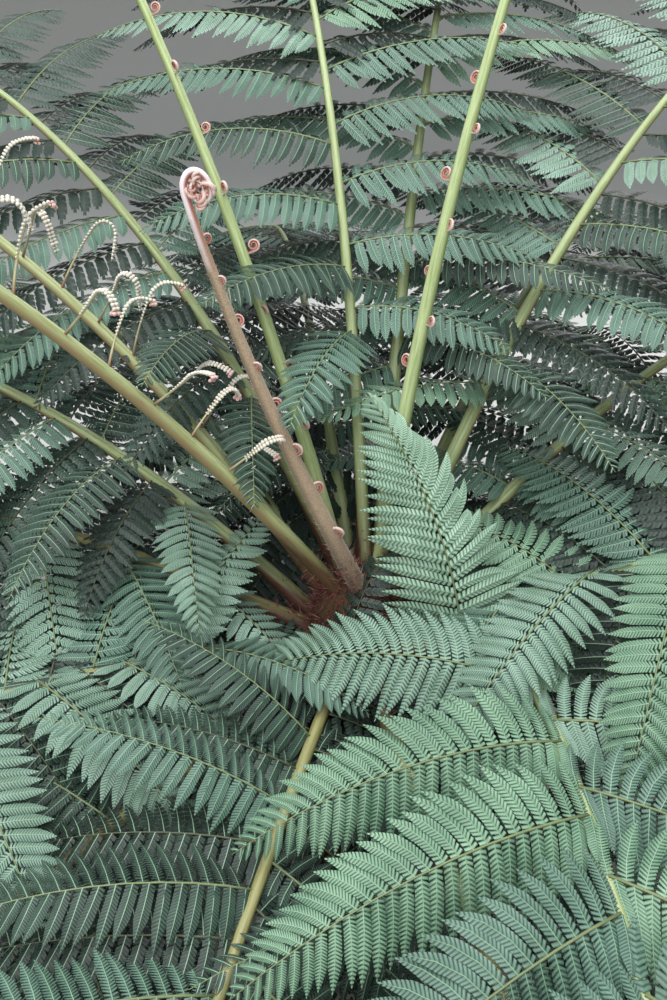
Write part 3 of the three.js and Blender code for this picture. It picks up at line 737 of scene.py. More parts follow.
# The looks deal out leaf colours at random, partly as the leaves' own range and partly as painted light and
# shade: "light" fronds at the front get the brighter colours, and "mid" and "deep" fronds, high at the back,
# low down or far back, get more of the darker "shade". The "under" look of the filling leaves is painted
# shade.
LOOKS = {
    "light": ("bloom", "bloom", "blue_green", "bloom", "fresh", "bloom", "blue_green"),
    "mid": ("blue_green", "shade", "blue_green", "bloom", "blue_green", "fresh", "shade"),
    "deep": ("shade", "shade", "blue_green", "shade", "shade", "blue_green", "shade"),
    "under": ("under", "under", "shade"),
}
chance = np.random.default_rng(7)


def leaflets_of(arcs, i):
    """Places and sizes of the leaflets of one leaf."""
    length, cover, longest = (arcs[key][i] for key in ("length", "cover", "longest"))
    start = arcs["start"][i] * LEAFLETS_FROM[cover]
    leafy = length * LEAF_END - start
    count = max(4, int(leafy / LEAFLET_PITCH))
    q = (np.repeat(np.arange(count), 2) + np.tile(ROW_STEP, count)) / count
    way = start + leafy * (1 - (1 - q) ** LEAFLET_CROWDING)
    x = np.maximum(way, 0) / length
    side = np.tile([1.0, -1.0], count)
    one = {key: arcs[key][i:i + 1] for key in ("point", "out", "down", "face", "length", "bend")}
    point, along, over, across = (part[0] for part in leaf_at(one, way / length))
    first, full = FIRST_LEAFLETS
    size = longest * (first + (1 - first) * np.minimum(1, x / full))
    size = size * (1 - x ** LEAFLET_SHRINK[0]) ** LEAFLET_SHRINK[1] + 3
    pitch = leafy / count * LEAFLET_CROWDING * (1 - q) ** (LEAFLET_CROWDING - 1)
    angle = arcs["open"][i] - LEAFLET_OPEN[1] * x ** 1.8 + chance.normal(0, TURN_VARY, len(x))
    angle = np.radians(angle)[:, None]
    lifted = cover * np.exp(-np.maximum(way, 0) / OVER_STEM_REACH)
    tilt = np.radians(LEAFLET_TILT - OVER_STEM * lifted + chance.normal(0, TILT_VARY, len(x)))[:, None]
    sideways = side[:, None] * across * np.cos(tilt) - over * np.sin(tilt)
    out = unit(along * np.cos(angle) + sideways * np.sin(angle))
    with_stem = arcs["stem"][i] * np.sign(out @ arcs["stem"][i])[:, None]
    out = unit(out + (with_stem - out) * lifted[:, None])
    ahead = square_to(out, along)
    outward = np.sum(out[:, :2] * unit(point[:, :2]), axis=1)
    rising = np.maximum(0, out[:, 2])
    steep = np.maximum(0, along[:, 2])
    hang = LEAFLET_HANG + HANG_OUTWARD * outward + HANG_RISING * (rising + steep)
    sweep = LEAFLET_SWEEP[0] + LEAFLET_SWEEP[1] * rising
    return {"point": point, "out": out, "ahead": ahead, "side": side,
            "length": size * chance.uniform(*LENGTH_VARY, len(x)),
            "half": 0.5 * pitch * LEAFLET_WIDTH[cover] * np.minimum(1, size / longest + 0.25),
            "hang": hang * chance.uniform(*HANG_VARY, len(x)) * (1 - lifted),
            "sweep": sweep * chance.uniform(*SWEEP_VARY, len(x))}


def blade_line(blades, t):
    """Points and directions along the midribs of leaflets at shares of their length."""
    t = t[None, :, None]
    length = blades["length"][:, None, None]
    out, ahead = blades["out"][:, None], blades["ahead"][:, None]
    sweep, hang = blades["sweep"][:, None, None], blades["hang"][:, None, None]
    point = blades["point"][:, None] + length * (out * t + ahead * sweep * t ** 2 - UP * hang * t ** 2)
    along = unit(out + ahead * 2 * sweep * t - UP * 2 * hang * t)
    ahead = square_to(along, ahead)
    above = -blades["side"][:, None, None] * np.cross(along, ahead)
    return point, along, ahead, above


def lobed_blades(blades, lobes):
    """The blades of leaflets: four corners for each lobe, slanting forward, lower at the rim."""
    t = np.linspace(0.01, 1, lobes + 1)
    point, along, ahead, above = blade_line(blades, t)
    middle = (t[1:] + t[:-1]) / 2
    pointed = np.minimum(1, (1 - middle) / (1 - TIP_FROM)) ** TIP_CURVE
    most, at_foot, rise = LOBE_SLANT
    slant = (most * np.minimum(1, at_foot + rise * middle))[None, :, None]
    swell = BLADE_SWELL[0] + BLADE_SWELL[1] * middle
    width = blades["half"][:, None, None] * (swell * pointed)[None, :, None]
    step = (blades["length"] / lobes)[:, None, None]
    root, forward, sideways, up = point[:, :-1], along[:, :-1], ahead[:, :-1], above[:, :-1]
    parts = [point]
    for side in (1, -1):
        rear = (root + forward * (slant * width + LOBE_SPAN[0] * step) + sideways * side * width
                - up * LOBE_ROOF[0] * width)
        front = (root + forward * (slant * width + LOBE_SPAN[1] * step)
                 + sideways * side * width * LOBE_FRONT - up * LOBE_ROOF[1] * width)
        parts += [rear, front]
    count = len(blades["length"])
    corners = np.concatenate(parts, axis=1)
    k = np.arange(lobes)
    first = lobes + 1
    quads = []
    for side in (0, 1):
        rear, front = first + 2 * side * lobes + k, first + (2 * side + 1) * lobes + k
        quads.append(np.stack([k, rear, front, k + 1] if side else [k, k + 1, front, rear], -1))
    quads = np.concatenate(quads)
    # Each lobe gets a number across it, from which its material paints shade in the slits and a pale sheen on
    # the lobe: one band to a lobe on the finest leaves, two on the rest.
    end = 1.0 if lobes == FINEST_LOBES else 2.0
    shade = np.repeat([[0, end, end, 0], [0, 0, end, end]], lobes, axis=0)
    turn = blades["side"][:, None, None] > 0
    faces = np.where(turn, quads[:, ::-1], quads) + (np.arange(count) * corners.shape[1])[:, None, None]
    shade = np.where(turn, shade[:, ::-1], shade)
    return corners.reshape(-1, 3), faces.reshape(-1, 4), shade.ravel()


def midribs(blades):
    """A pale raised line down the middle of each leaflet, partly its own colour and partly a painted
    highlight on the leaflet's ridge.
    """
    half = np.array(MIDRIB_HALVES)[None, :, None]
    point, _, ahead, above = blade_line(blades, np.array(MIDRIB_WAYS))
    line = point + above * MIDRIB_RAISE
    corners = np.concatenate([line[:, :3] + ahead[:, :3] * half, line[:, :3] - ahead[:, :3] * half,
                              line[:, 3:]], axis=1)
    quads = np.array([[0, 1, 4, 3], [1, 2, 5, 4]])
    ends = np.array([[2, 6, 5]])
    turned = blades["side"][:, None, None] > 0
    first = (np.arange(len(point)) * 7)[:, None, None]
    return (corners.reshape(-1, 3), (np.where(turned, quads, quads[:, ::-1]) + first).reshape(-1, 4),
            (np.where(turned, ends, ends[:, ::-1]) + first).reshape(-1, 3))


def leaf_blade(name, light, dark):
    """Living fern blade: soft and matt with a waxy bloom, mottled in drifts, with painted shade between its
    lobes and a painted pale sheen on them.
    """
    material, tree = fresh_material(name)
    place = add(tree, "TexCoord", {})
    drift = add(tree, "TexNoise", {"Vector": (place, "Object"), "Scale": 16.0, "Detail": 4.0})
    grain = add(tree, "TexNoise", {"Vector": (place, "Object"), "Scale": 420.0, "Detail": 2.0})
    sharp = add(tree, "MapRange", {"Value": (drift, "Fac"), "From Min": 0.32, "From Max": 0.68})
    tint = add(tree, "Mix", {0: (sharp, "Result"), 6: linear(light), 7: linear(dark)}, data_type="RGBA")
    veins = add(tree, "MapRange", {"Value": (grain, "Fac"), "From Min": 0.3, "From Max": 0.7, "To Min": 0.9,
                                   "To Max": 1.08})
    # The number across each lobe paints light and shade: towards the slits darker and more saturated, as
    # painted shade, and between them brighter and greyer, as a painted sheen.
    lobe = add(tree, "Attribute", {}, attribute_name="lobe_way")
    wave = add(tree, "Math", {0: (lobe, "Fac"), 1: 0.5}, operation="PINGPONG")
    slit_shade_and_sheen = add(tree, "MapRange", {"Value": (wave, "Value"), "From Min": 0.04, "From Max": 0.34,
                                    "To Min": 0.42, "To Max": 1.25})
    pale = add(tree, "MapRange", {"Value": (wave, "Value"), "From Min": 0.04, "From Max": 0.34,
                                  "To Min": 1.25, "To Max": 0.82})
    value = add(tree, "Math", {0: (veins, "Result"), 1: (slit_shade_and_sheen, "Result")}, operation="MULTIPLY")
    blade = add(tree, "HueSaturation", {"Color": (tint, 2), "Value": (value, "Value"),
                                        "Saturation": (pale, "Result")})
    bump = add(tree, "Bump", {"Height": (grain, "Fac"), "Strength": 0.3, "Distance": 0.0006})
    shader = add(tree, "BsdfPrincipled", {"Base Color": (blade, "Color"), "Normal": (bump, "Normal"),
                                          "Roughness": 0.5, "Specular IOR Level": 0.4,
                                          "Sheen Weight": 0.12, "Sheen Roughness": 0.4})
    add(tree, "OutputMaterial", {"Surface": (shader, "BSDF")})
    return material


def gathered(parts):
    """Several sets of leaflets as one."""
    return {key: np.concatenate([part[key] for part in parts]) for key in parts[0]}


def lobes_of(blades, choices):
    """How finely a leaf is cut: most where it is seen from close by."""
    middle = blades["point"].mean(axis=0) - VIEWPOINT
    away = np.linalg.norm(middle)
    if middle @ VIEW_WAY < OUT_OF_VIEW * away:
        return choices[-1][1]
    return next(lobes for reach, lobes in choices if away < reach)


def sorted_leaflets():
    """The leaflets of all leaves, by colour and number of lobes, with the solids that they stand for."""
    bins = {}
    for frond in FRONDS:
        for arcs in (frond["leaves"], *frond["fill"]):
            carried = arcs is frond["leaves"]
            # Filling leaves all take the dark "under" look: painted shade.
            looks = LOOKS[frond["look"]] if carried else LOOKS["under"]
            for i in range(len(arcs["length"])):
                colour = looks[int(chance.integers(len(looks)))]
                if carried:
                    colour = frond.get("colours", {}).get(i, colour)
                node = frond["name"] + ("_upper" if arcs["upper"][i] else "_lower")
                blades = leaflets_of(arcs, i)
                lobes = lobes_of(blades, LOBES if carried else LOBES_BETWEEN)
                bins.setdefault((colour, lobes), []).append((blades, node))
    return bins


def leaflet_pieces():
    """Pieces of leaflets of one colour, each under the largest number of faces that a piece may have."""
    materials = {name: leaf_blade("fern_blade_" + name, *tints) for name, tints in LEAF_COLOURS.items()}
    for (colour, lobes), entries in sorted_leaflets().items():
        most = MOST_FACES // (2 * lobes)
        batch, count, number = [], 0, 1
        for k, (blades, node) in enumerate(entries):
            batch.append((blades, node))
            count += len(blades["length"])
            following = len(entries[k + 1][0]["length"]) if k + 1 < len(entries) else most
            if count + following >= most:
                corners, quads, shade = lobed_blades(gathered([part for part, _ in batch]), lobes)
                nodes = sorted({node for _, node in batch})
                piece = joined(f"leaflets_{colour}_{lobes}_{number}", corners, [quads], materials[colour],
                               "leaf", nodes, smooth=False)
                attribute(piece, "lobe_way", shade, "CORNER")
                if lobes >= 8:
                    yield gathered([part for part, _ in batch])
                batch, count, number = [], 0, number + 1


def midrib_skin():
    """Leaflet midrib: a pale yellow-green line, smoother than the blade, its paleness partly its own and
    partly a painted highlight on the ridge.
    """
    material, tree = fresh_material("leaflet_midrib")
    place = add(tree, "TexCoord", {})
    spots = add(tree, "TexNoise", {"Vector": (place, "Object"), "Scale": 60.0})
    skin = add(tree, "Mix", {0: (spots, "Fac"), 6: linear("#8fae90"), 7: linear("#6f9074")}, data_type="RGBA")
    shader = add(tree, "BsdfPrincipled", {"Base Color": (skin, 2), "Roughness": 0.45})
    add(tree, "OutputMaterial", {"Surface": (shader, "BSDF")})
    return material


all_blades = gathered(list(leaflet_pieces()))
line_corners, line_quads, line_ends = midribs(all_blades)
joined("leaflet_midribs", line_corners, [line_quads, line_ends], midrib_skin(), "leaf", halves(FRONDS),
       smooth=False)


# Five young fronds are still rolled up. Each stem is one smooth tapering tube whose tip goes on as a
# tight spiral over its upper side. Three are plain and pale green or tan, and two are grooved.
YOUNG_KEYS = "name ring seat heading lift end length bare foot tip taper buds bud_way stalk bud coil"
YOUNG = {row[0]: dict(zip(YOUNG_KEYS.split(), row[:16]), **row[16]) for row in (
    ("young_left", "inner", 125, 155, 74, 56, 1350, 290, 8.8, 5, 1.2, 6, (0.45, 0.85), 0, 9, 30,
     {"turn": -4}),
    ("young_right", "inner", 355, 34, 82, 64, 1300, 400, 9.5, 5, 1.1, 7, (0.9, 0.1), 0, 9, 32, {}),
    ("crozier", "inner", 291, 178, 65, 75, 720, 130, 10.6, 6, 1, 4, (0.4, 0.9), 0, 8, 26,
     {"turn": 10, "tall": 1.4, "swell": 1.3, "slot": "crozier"}),
    ("unfurling_back", "middle", 145, 169, 56, 8, 1600, 300, 10, 4.8, 1.2, 9, (0.35, 0.9), 120, 10, 34, {}),
    ("unfurling_front", "inner", 208, 198, 55, 18, 1600, 320, 10, 5, 1, 9, (0.35, 0.9), 100, 10, 34, {}),
)}
YOUNG_SIDES = 24
COIL_TURN = 340
COIL_TIGHTENS = 0.45
COIL_IN_ALL = 640
COIL_STEPS = 64
TIP_REACH = 150.0
YOUNG_BROWN_FOOT = 260.0


def coil_line(frond):
    """Points, inward directions and radii of a rolled tip, which winds on inside its solid's one turn."""
    point, along, _, over = stem_at(frond, frond["length"])
    tip = stem_radius(frond, frond["length"])
    angle = np.radians(np.linspace(0, COIL_IN_ALL, COIL_STEPS))[:, None]
    loss = COIL_TIGHTENS * angle / math.radians(COIL_TURN)
    radius = (frond["coil"] - tip) * (1 - loss)
    middle = (angle[1:] + angle[:-1]) / 2
    ahead = along * np.cos(middle) * frond.get("tall", 1) + over * np.sin(middle)
    moves = ahead * (radius[1:] + radius[:-1]) / 2 * np.diff(angle, axis=0)
    points = point + np.vstack([np.zeros(3), np.cumsum(moves, axis=0)])
    return points, over * np.cos(angle) - along * np.sin(angle), tip * (1 - loss[:, 0])


def young_stem(frond, material, groove):
    """A young stem with its rolled tip, and how far each point is under it, from the foot and at the tip."""
    ways = np.concatenate([[0], np.linspace(0, frond["length"], PATH_STEPS + 1)])
    points, along, left, over = stem_at(frond, ways)
    points[0] -= along[0] * SEAT_DEPTH
    coil, inward, coil_radii = coil_line(frond)
    points = np.vstack([points, coil[1:]])[None]
    across = np.vstack([left, np.broadcast_to(left[-1], inward[1:].shape)])[None]
    over = np.vstack([over, inward[1:]])[None]
    radii = np.concatenate([stem_radius(frond, ways), coil_radii[1:]])[None]
    piece = tubes(frond["name"] + "_stem", (points, across, over, radii), YOUNG_SIDES, material,
                  frond.get("slot", "young"), [frond["name"]], groove)
    ways = np.concatenate([ways, np.full(COIL_STEPS - 1, frond["length"])])
    each = np.ones((len(ways), YOUNG_SIDES))
    attribute(piece, "under", (each * under_share(YOUNG_SIDES)).ravel())
    attribute(piece, "near_foot", (each * np.clip(1 - ways / YOUNG_BROWN_FOOT, 0, 1)[:, None]).ravel())
    near_tip = np.clip((ways - frond["length"] + TIP_REACH) / TIP_REACH, 0, 1)
    attribute(piece, "near_tip", (each * near_tip[:, None]).ravel())
    lengthways_grain(piece, ways[None], YOUNG_SIDES)


def crozier_skin():
    """Young stem under fine scurf: tan and speckled, darker brown on its underside as painted shade, pale
    pink on the rolled head.
    """
    material, tree = fresh_material("scurfy_crozier")
    place = add(tree, "TexCoord", {})
    speck = add(tree, "TexNoise", {"Vector": (place, "Object"), "Scale": 520.0, "Detail": 3.0})
    cloud = add(tree, "TexNoise", {"Vector": (place, "Object"), "Scale": 34.0, "Detail": 4.0})
    side = add(tree, "Attribute", {}, attribute_name="under")
    tip = add(tree, "Attribute", {}, attribute_name="near_tip")
    foot = add(tree, "Attribute", {}, attribute_name="near_foot")
    grain = add(tree, "MapRange", {"Value": (speck, "Fac"), "From Min": 0.35, "From Max": 0.65})
    tan = add(tree, "Mix", {0: (grain, "Result"), 6: linear("#b5a088"), 7: linear("#957f66")},
              data_type="RGBA")
    # The underside turns a darker brown: painted shade.
    back = add(tree, "MapRange", {"Value": (side, "Fac"), "From Min": 0.55, "From Max": 0.95})
    stem = add(tree, "Mix", {0: (back, "Result"), 6: (tan, 2), 7: linear("#7a644a")}, data_type="RGBA")
    low = add(tree, "MapRange", {"Value": (foot, "Fac"), "From Min": 0.3, "From Max": 0.95})
    stem = add(tree, "Mix", {0: (low, "Result"), 6: (stem, 2), 7: linear("#4c3a29")}, data_type="RGBA")
    outer = add(tree, "MapRange", {"Value": (side, "Fac"), "From Min": 0.3, "From Max": 0.62})
    head = add(tree, "Mix", {0: (outer, "Result"), 6: linear("#9a5d4c"), 7: linear("#ecdde3")},
               data_type="RGBA")
    blend = add(tree, "Math", {0: (tip, "Fac"), 1: (cloud, "Fac")}, operation="ADD")
    turn = add(tree, "MapRange", {"Value": (blend, "Value"), "From Min": 0.75, "From Max": 1.45})
    skin = add(tree, "Mix", {0: (turn, "Result"), 6: (stem, 2), 7: (head, 2)}, data_type="RGBA")
    bump = add(tree, "Bump", {"Height": (speck, "Fac"), "Strength": 0.35, "Distance": 0.0008})
    shader = add(tree, "BsdfPrincipled", {"Base Color": (skin, 2), "Normal": (bump, "Normal"),
                                          "Roughness": 0.62, "Sheen Weight": 0.35, "Sheen Roughness": 0.5})
    add(tree, "OutputMaterial", {"Surface": (shader, "BSDF")})
    return material


for frond in YOUNG.values():
    frond["path"] = stem_path(frond)
# The pale stalks' darker green underside is painted shade.
pale_stalk = frond_stalk("pale_young_stalk", "#a9bb80", "#8b9a62", "#6f7048", "#b9c795")
grooved_stalk = frond_stalk("grooved_young_stalk", "#a2ab74", "#93805c", "#5a4631", "#c6cba4")
for name, material, groove in (("young_left", pale_stalk, 0.06),
                               ("young_right", pale_stalk, 0.06),
                               ("unfurling_back", grooved_stalk, 0.3),
                               ("unfurling_front", grooved_stalk, 0.3),
                               ("crozier", crozier_skin(), 0.05)):
    young_stem(YOUNG[name], material, groove)


# The leaves of the plain young fronds are rolled up tight: small snail coils on short stalks, cream and
# pink on their rims and red-brown inside. Thicker ones fill the crozier's rolled head.
CURL_STEPS = 26
CURL_SIDES = 8
CURL_TIGHTENS = 0.8
CURL_THICK = 0.3
BUD_CROWDING = 1.2
BUDS_END = 0.96
BUD_SIDE_STEP = 0.5
BUD_SHRINK = 0.3
BUD_TURNS = 1.9
BUD_STALK = 14
HEAD_TURNS = 1.15
HEAD_LEAVES = 20
HEAD_THICK = 0.5
HEAD_FILL = 0.7
HEAD_LOWER = 4.0
HEAD_SIZES = (6.5, 8.5)
HEAD_SPLAY = (0.8, 0.3)
GOLDEN_TURN = 2.4
CURL_THINS = 0.62
BUD_SEAT = (0.7, 0.3)
BUD_LEAN = 0.25
BUD_VARY = (0.85, 1.15)
curl_chance = np.random.default_rng(11)


def bud_roots(frond):
    """Share of the leafy part, side, way and outward direction of each rolled leaf."""
    side = np.tile([1.0, -1.0], frond["buds"])
    x = (np.repeat(np.arange(frond["buds"]), 2) + np.where(side < 0, BUD_SIDE_STEP, 0)) / frond["buds"]
    way = frond["bare"] + (frond["length"] - frond["bare"]) * (1 - (1 - x) ** BUD_CROWDING) * BUDS_END
    left, over = stem_at(frond, way)[2:]
    aside, above = frond["bud_way"]
    out = unit(left * side[:, None] * aside + over * above)
    return x, side, way, out


def curls(base, out, toward, straight, size, turns, thick):
    """The lines of rolled leaves: each goes straight out, then winds to one side, tighter and tighter."""
    angle = np.linspace(0, turns * 2 * np.pi, CURL_STEPS)
    radius = 1 - CURL_TIGHTENS * angle / angle[-1]
    middle = (angle[1:] + angle[:-1]) / 2
    move = np.diff(angle) * (radius[1:] + radius[:-1]) / 2
    forth = np.concatenate([[0], np.cumsum(np.cos(middle) * move)])[None, :, None]
    aside = np.concatenate([[0], np.cumsum(np.sin(middle) * move)])[None, :, None]
    out, toward = out[:, None], toward[:, None]
    size, straight = size[:, None, None], straight[:, None, None]
    points = base[:, None] + out * (straight + forth * size) + toward * aside * size
    points = np.concatenate([base[:, None], points], axis=1)
    turn = np.concatenate([[0], angle])[None, :, None]
    inward = toward * np.cos(turn) - out * np.sin(turn)
    across = np.broadcast_to(np.cross(out, toward), inward.shape)
    share = np.concatenate([[0], angle / angle[-1]])
    radii = size[..., 0] * thick * (1 - CURL_THINS * share) * np.where(share > 0.02, 1, 0.8)
    return points, across, inward, radii, share


def rolled_leaves(name, frond, lines, material):
    """One piece of rolled leaves, with how far each point is on the rim and inside the roll."""
    points, across, inward, radii, share = lines
    piece = tubes(name, (points, across, inward, radii), CURL_SIDES, material,
                  frond.get("slot", "young"), [frond["name"]])
    each = np.ones((len(points), points.shape[1], CURL_SIDES))
    attribute(piece, "rim", (each * under_share(CURL_SIDES)).ravel())
    attribute(piece, "inside", (each * share[:, None]).ravel())


def rolled_leaf():
    """Rolled young leaf: velvety, cream and pink along its rim, red-brown and hairy inside."""
    material, tree = fresh_material("rolled_leaf_velvet")
    place = add(tree, "TexCoord", {})
    fuzz = add(tree, "TexNoise", {"Vector": (place, "Object"), "Scale": 700.0, "Detail": 3.0})
    rim = add(tree, "Attribute", {}, attribute_name="rim")
    inside = add(tree, "Attribute", {}, attribute_name="inside")
    spread = add(tree, "Math", {0: (rim, "Fac"), 1: (fuzz, "Fac")}, operation="ADD")
    edge = add(tree, "MapRange", {"Value": (spread, "Value"), "From Min": 0.85, "From Max": 1.2})
    inner = add(tree, "Mix", {0: (inside, "Fac"), 6: linear("#a2543f"), 7: linear("#7a3424")},
                data_type="RGBA")
    outer = add(tree, "Mix", {0: (inside, "Fac"), 6: linear("#dcc3b8"), 7: linear("#bd9085")},
                data_type="RGBA")
    skin = add(tree, "Mix", {0: (edge, "Result"), 6: (inner, 2), 7: (outer, 2)}, data_type="RGBA")
    bump = add(tree, "Bump", {"Height": (fuzz, "Fac"), "Strength": 0.5, "Distance": 0.0008})
    shader = add(tree, "BsdfPrincipled", {"Base Color": (skin, 2), "Normal": (bump, "Normal"),
                                          "Roughness": 0.7, "Sheen Weight": 0.5, "Sheen Roughness": 0.4})
    add(tree, "OutputMaterial", {"Surface": (shader, "BSDF")})
    return material


def stem_buds(frond, material):
    """The rolled leaves that sit along a young stem and curl towards its tip."""
    x, _, way, out = bud_roots(frond)
    point, along, left, _ = stem_at(frond, way)
    count = len(x)
    base = point + out * (stem_radius(frond, way) * BUD_SEAT[0])[:, None]
    lean = curl_chance.normal(0, BUD_LEAN, (count, 1))
    toward = square_to(out, unit(along + left * lean))
    stalk = curl_chance.uniform(0, BUD_STALK, count) * (frond["name"] != "crozier")
    straight = stem_radius(frond, way) * BUD_SEAT[1] + stalk
    size = frond["bud"] * (1 - BUD_SHRINK * x) * curl_chance.uniform(*BUD_VARY, count)
    size = size * frond.get("swell", 1)
    lines = curls(base, out, toward, straight, size, BUD_TURNS, CURL_THICK)
    rolled_leaves(frond["name"] + "_buds", frond, lines, material)


def head_curls(frond, material):
    """The rolled leaves that crowd the crozier's head, on both sides of its coil."""
    points, _, radii = coil_line(frond)
    along, left, over = stem_at(frond, frond["length"])[1:]
    middle = points[:COIL_STEPS // 2].mean(axis=0) - along * HEAD_LOWER
    turn = np.arange(HEAD_LEAVES) * GOLDEN_TURN
    reach = np.sqrt((np.arange(HEAD_LEAVES) + 0.5) / HEAD_LEAVES) * HEAD_FILL * (frond["coil"] - radii[0])
    around = along * (np.cos(turn) * frond["tall"])[:, None] + over * np.sin(turn)[:, None]
    side = np.where(np.arange(HEAD_LEAVES) % 2, 1.0, -1.0)[:, None]
    base = middle + around * reach[:, None] - left * side
    out = unit(around * HEAD_SPLAY[0] + left * side)
    toward = unit(np.cross(out, left * side + around * HEAD_SPLAY[1]))
    size = curl_chance.uniform(*HEAD_SIZES, HEAD_LEAVES)
    lines = curls(base, out, toward, np.full(HEAD_LEAVES, 1.0), size, HEAD_TURNS, HEAD_THICK)
    rolled_leaves("crozier_head_leaves", frond, lines, material)


velvet = rolled_leaf()
for name in ("young_left", "young_right", "crozier"):
    stem_buds(YOUNG[name], velvet)
head_curls(YOUNG["crozier"], velvet)


# The leaves of the grooved young fronds have begun to open: each stands on a stalk that hooks over, set
# with two rows of white beads, its leaflets still rolled, and many end in a pink ball of them.
STALK_STEPS = 56
STALK_SIDES = 7
STALK_SHORTEST = 0.55
STALK_LATE = 0.2
STALK_LONGER = 1.75
STALK_LEAN = 0.22
STALK_BENDS = ((40, 120), (120, 175))
STALK_VARY = 0.1
HOOK_VARY = (0.5, 0.2)
STALK_WAVE = (0.2, 2.6)
STALK_RADII = (1.45, 1.5, 0.5)
STALK_THINS = 0.16
HOOK_FROM = 0.55
HOOK_LENGTH = 0.3
BALL_FROM = 0.87
BALL_TURN = 540
BALL_TIGHTENS = 1.4
BALL_SWELL = (0.86, 0.1)
BALL_SHARE = 0.6
STALK_BROWN_STEPS = 14.0
STALK_UNDER = 0.3
STALK_STEP = 3.0
BEADS_FROM = 0.34
BEADS_TO = 0.99
BEAD_STEP = 5.6
BEAD_SIZE = (1.3, 2.9)
BEAD_GROWS = 0.3
BEAD_VARY = (0.85, 1.1)
END_BEADS = (0.93, 0.3)
PINK_FROM = (0.84, 0.06)
BEAD_SEAT = (0.55, 0.5)
BEAD_TALL = 1.15
BEAD_RINGS = 5
BEAD_SIDES = 7


def stalk_lines(frond):
    """The lines of hooked stalks, and which of them end in a ball."""
    x, side, way, out = bud_roots(frond)
    point, along, left, _ = stem_at(frond, way)
    count = len(x)
    lean = square_to(out, along)
    out = unit(out + lean * STALK_LEAN + curl_chance.normal(0, STALK_VARY, (count, 3)))
    aside, any_way = HOOK_VARY
    hook = -along + left * curl_chance.normal(0, aside, (count, 1))
    hook = hook + curl_chance.normal(0, any_way, (count, 3))
    hook = square_to(out, hook)
    wave = np.sin(np.pi * np.minimum(1, x + STALK_LATE))
    length = STALK_LONGER * frond["stalk"] * (STALK_SHORTEST + (1 - STALK_SHORTEST) * wave)
    ball = curl_chance.random(count) < BALL_SHARE
    s = np.linspace(0, 1, STALK_STEPS)[None]
    bends = [curl_chance.uniform(*degrees, count) for degrees in STALK_BENDS]
    bend = np.radians(np.where(ball, *bends))[:, None]
    eased = np.clip((s - HOOK_FROM) / HOOK_LENGTH, 0, 1)
    rolled = np.clip((s - BALL_FROM) / (1 - BALL_FROM), 0, 1) ** BALL_TIGHTENS
    rolled = rolled * ball[:, None] * math.radians(BALL_TURN)
    waving = STALK_WAVE[0] * np.sin(STALK_WAVE[1] * s + side[:, None])
    angle = bend * eased ** 2 * (3 - 2 * eased) + rolled + waving
    way_step = (length / (STALK_STEPS - 1))[:, None, None]
    direction = out[:, None] * np.cos(angle)[..., None] + hook[:, None] * np.sin(angle)[..., None]
    points = np.cumsum(direction * way_step, axis=1) + point[:, None] - direction[:, :1] * way_step
    inward = hook[:, None] * np.cos(angle)[..., None] - out[:, None] * np.sin(angle)[..., None]
    across = np.broadcast_to(np.cross(out, hook)[:, None], inward.shape)
    swell = ball[:, None] * np.clip((s - BALL_SWELL[0]) / BALL_SWELL[1], 0, 1)
    radii = STALK_RADII[0] + STALK_RADII[1] * np.exp(-s / STALK_THINS) + STALK_RADII[2] * swell
    return points, across, inward, radii, length, ball


def bead_places(lines):
    """Places, axes, sizes and pinkness of the beads on both sides of each stalk."""
    points, across, inward, radii, length, ball = lines
    spots = []
    for i in range(len(points)):
        share = np.arange(BEADS_FROM, BEADS_TO, BEAD_STEP / length[i])
        place = share * (STALK_STEPS - 1)
        k = place.astype(int)
        t = (place - k)[:, None]
        middle = points[i, k] * (1 - t) + points[i, k + 1] * t
        grown = np.clip((share - BEADS_FROM) / BEAD_GROWS, 0, 1)
        size = BEAD_SIZE[0] + (BEAD_SIZE[1] - BEAD_SIZE[0]) * grown
        smaller = 1 - END_BEADS[1] * (share > END_BEADS[0])
        size = size * smaller * curl_chance.uniform(*BEAD_VARY, len(share))
        pink = np.clip((share - PINK_FROM[0]) / PINK_FROM[1], 0, 1) * ball[i]
        for side in (1, -1):
            off = across[i, k] * side * (radii[i, k] + size * BEAD_SEAT[0])[:, None]
            off = off - inward[i, k] * (size * BEAD_SEAT[1])[:, None]
            spots.append((middle + off, across[i, k] * side, inward[i, k], size, pink))
    return [np.concatenate(part) for part in zip(*spots)]


def beads(name, places, material):
    """The beads of one frond in one piece: balls a little longer than wide, with how pink each is."""
    centre, across, inward, size, pink = places
    ahead = np.cross(across, inward)
    polar = (np.arange(BEAD_RINGS) + 0.5) / BEAD_RINGS * np.pi
    angle = round_angles(BEAD_SIDES)
    flat = np.sin(polar)[:, None]
    shape = np.stack([flat * np.cos(angle), flat * np.sin(angle),
                      np.broadcast_to(BEAD_TALL * np.cos(polar)[:, None], (BEAD_RINGS, BEAD_SIDES))], -1)
    shape = shape.reshape(-1, 3)
    axes = np.stack([inward, ahead, across], 1) * size[:, None, None]
    points = centre[:, None] + np.einsum("pk,nkd->npd", shape, axes)
    corner = np.arange(len(centre) * len(shape)).reshape(len(centre), BEAD_RINGS, BEAD_SIDES)
    after = np.roll(corner, -1, axis=2)
    quads = np.stack([corner[:, :-1], corner[:, 1:], after[:, 1:], after[:, :-1]], -1).reshape(-1, 4)
    ends = np.vstack([corner[:, 0], corner[:, -1, ::-1]])
    piece = joined(name + "_beads", points.reshape(-1, 3), [quads, ends], material, "young", [name])
    attribute(piece, "pink", np.repeat(pink, len(shape)))


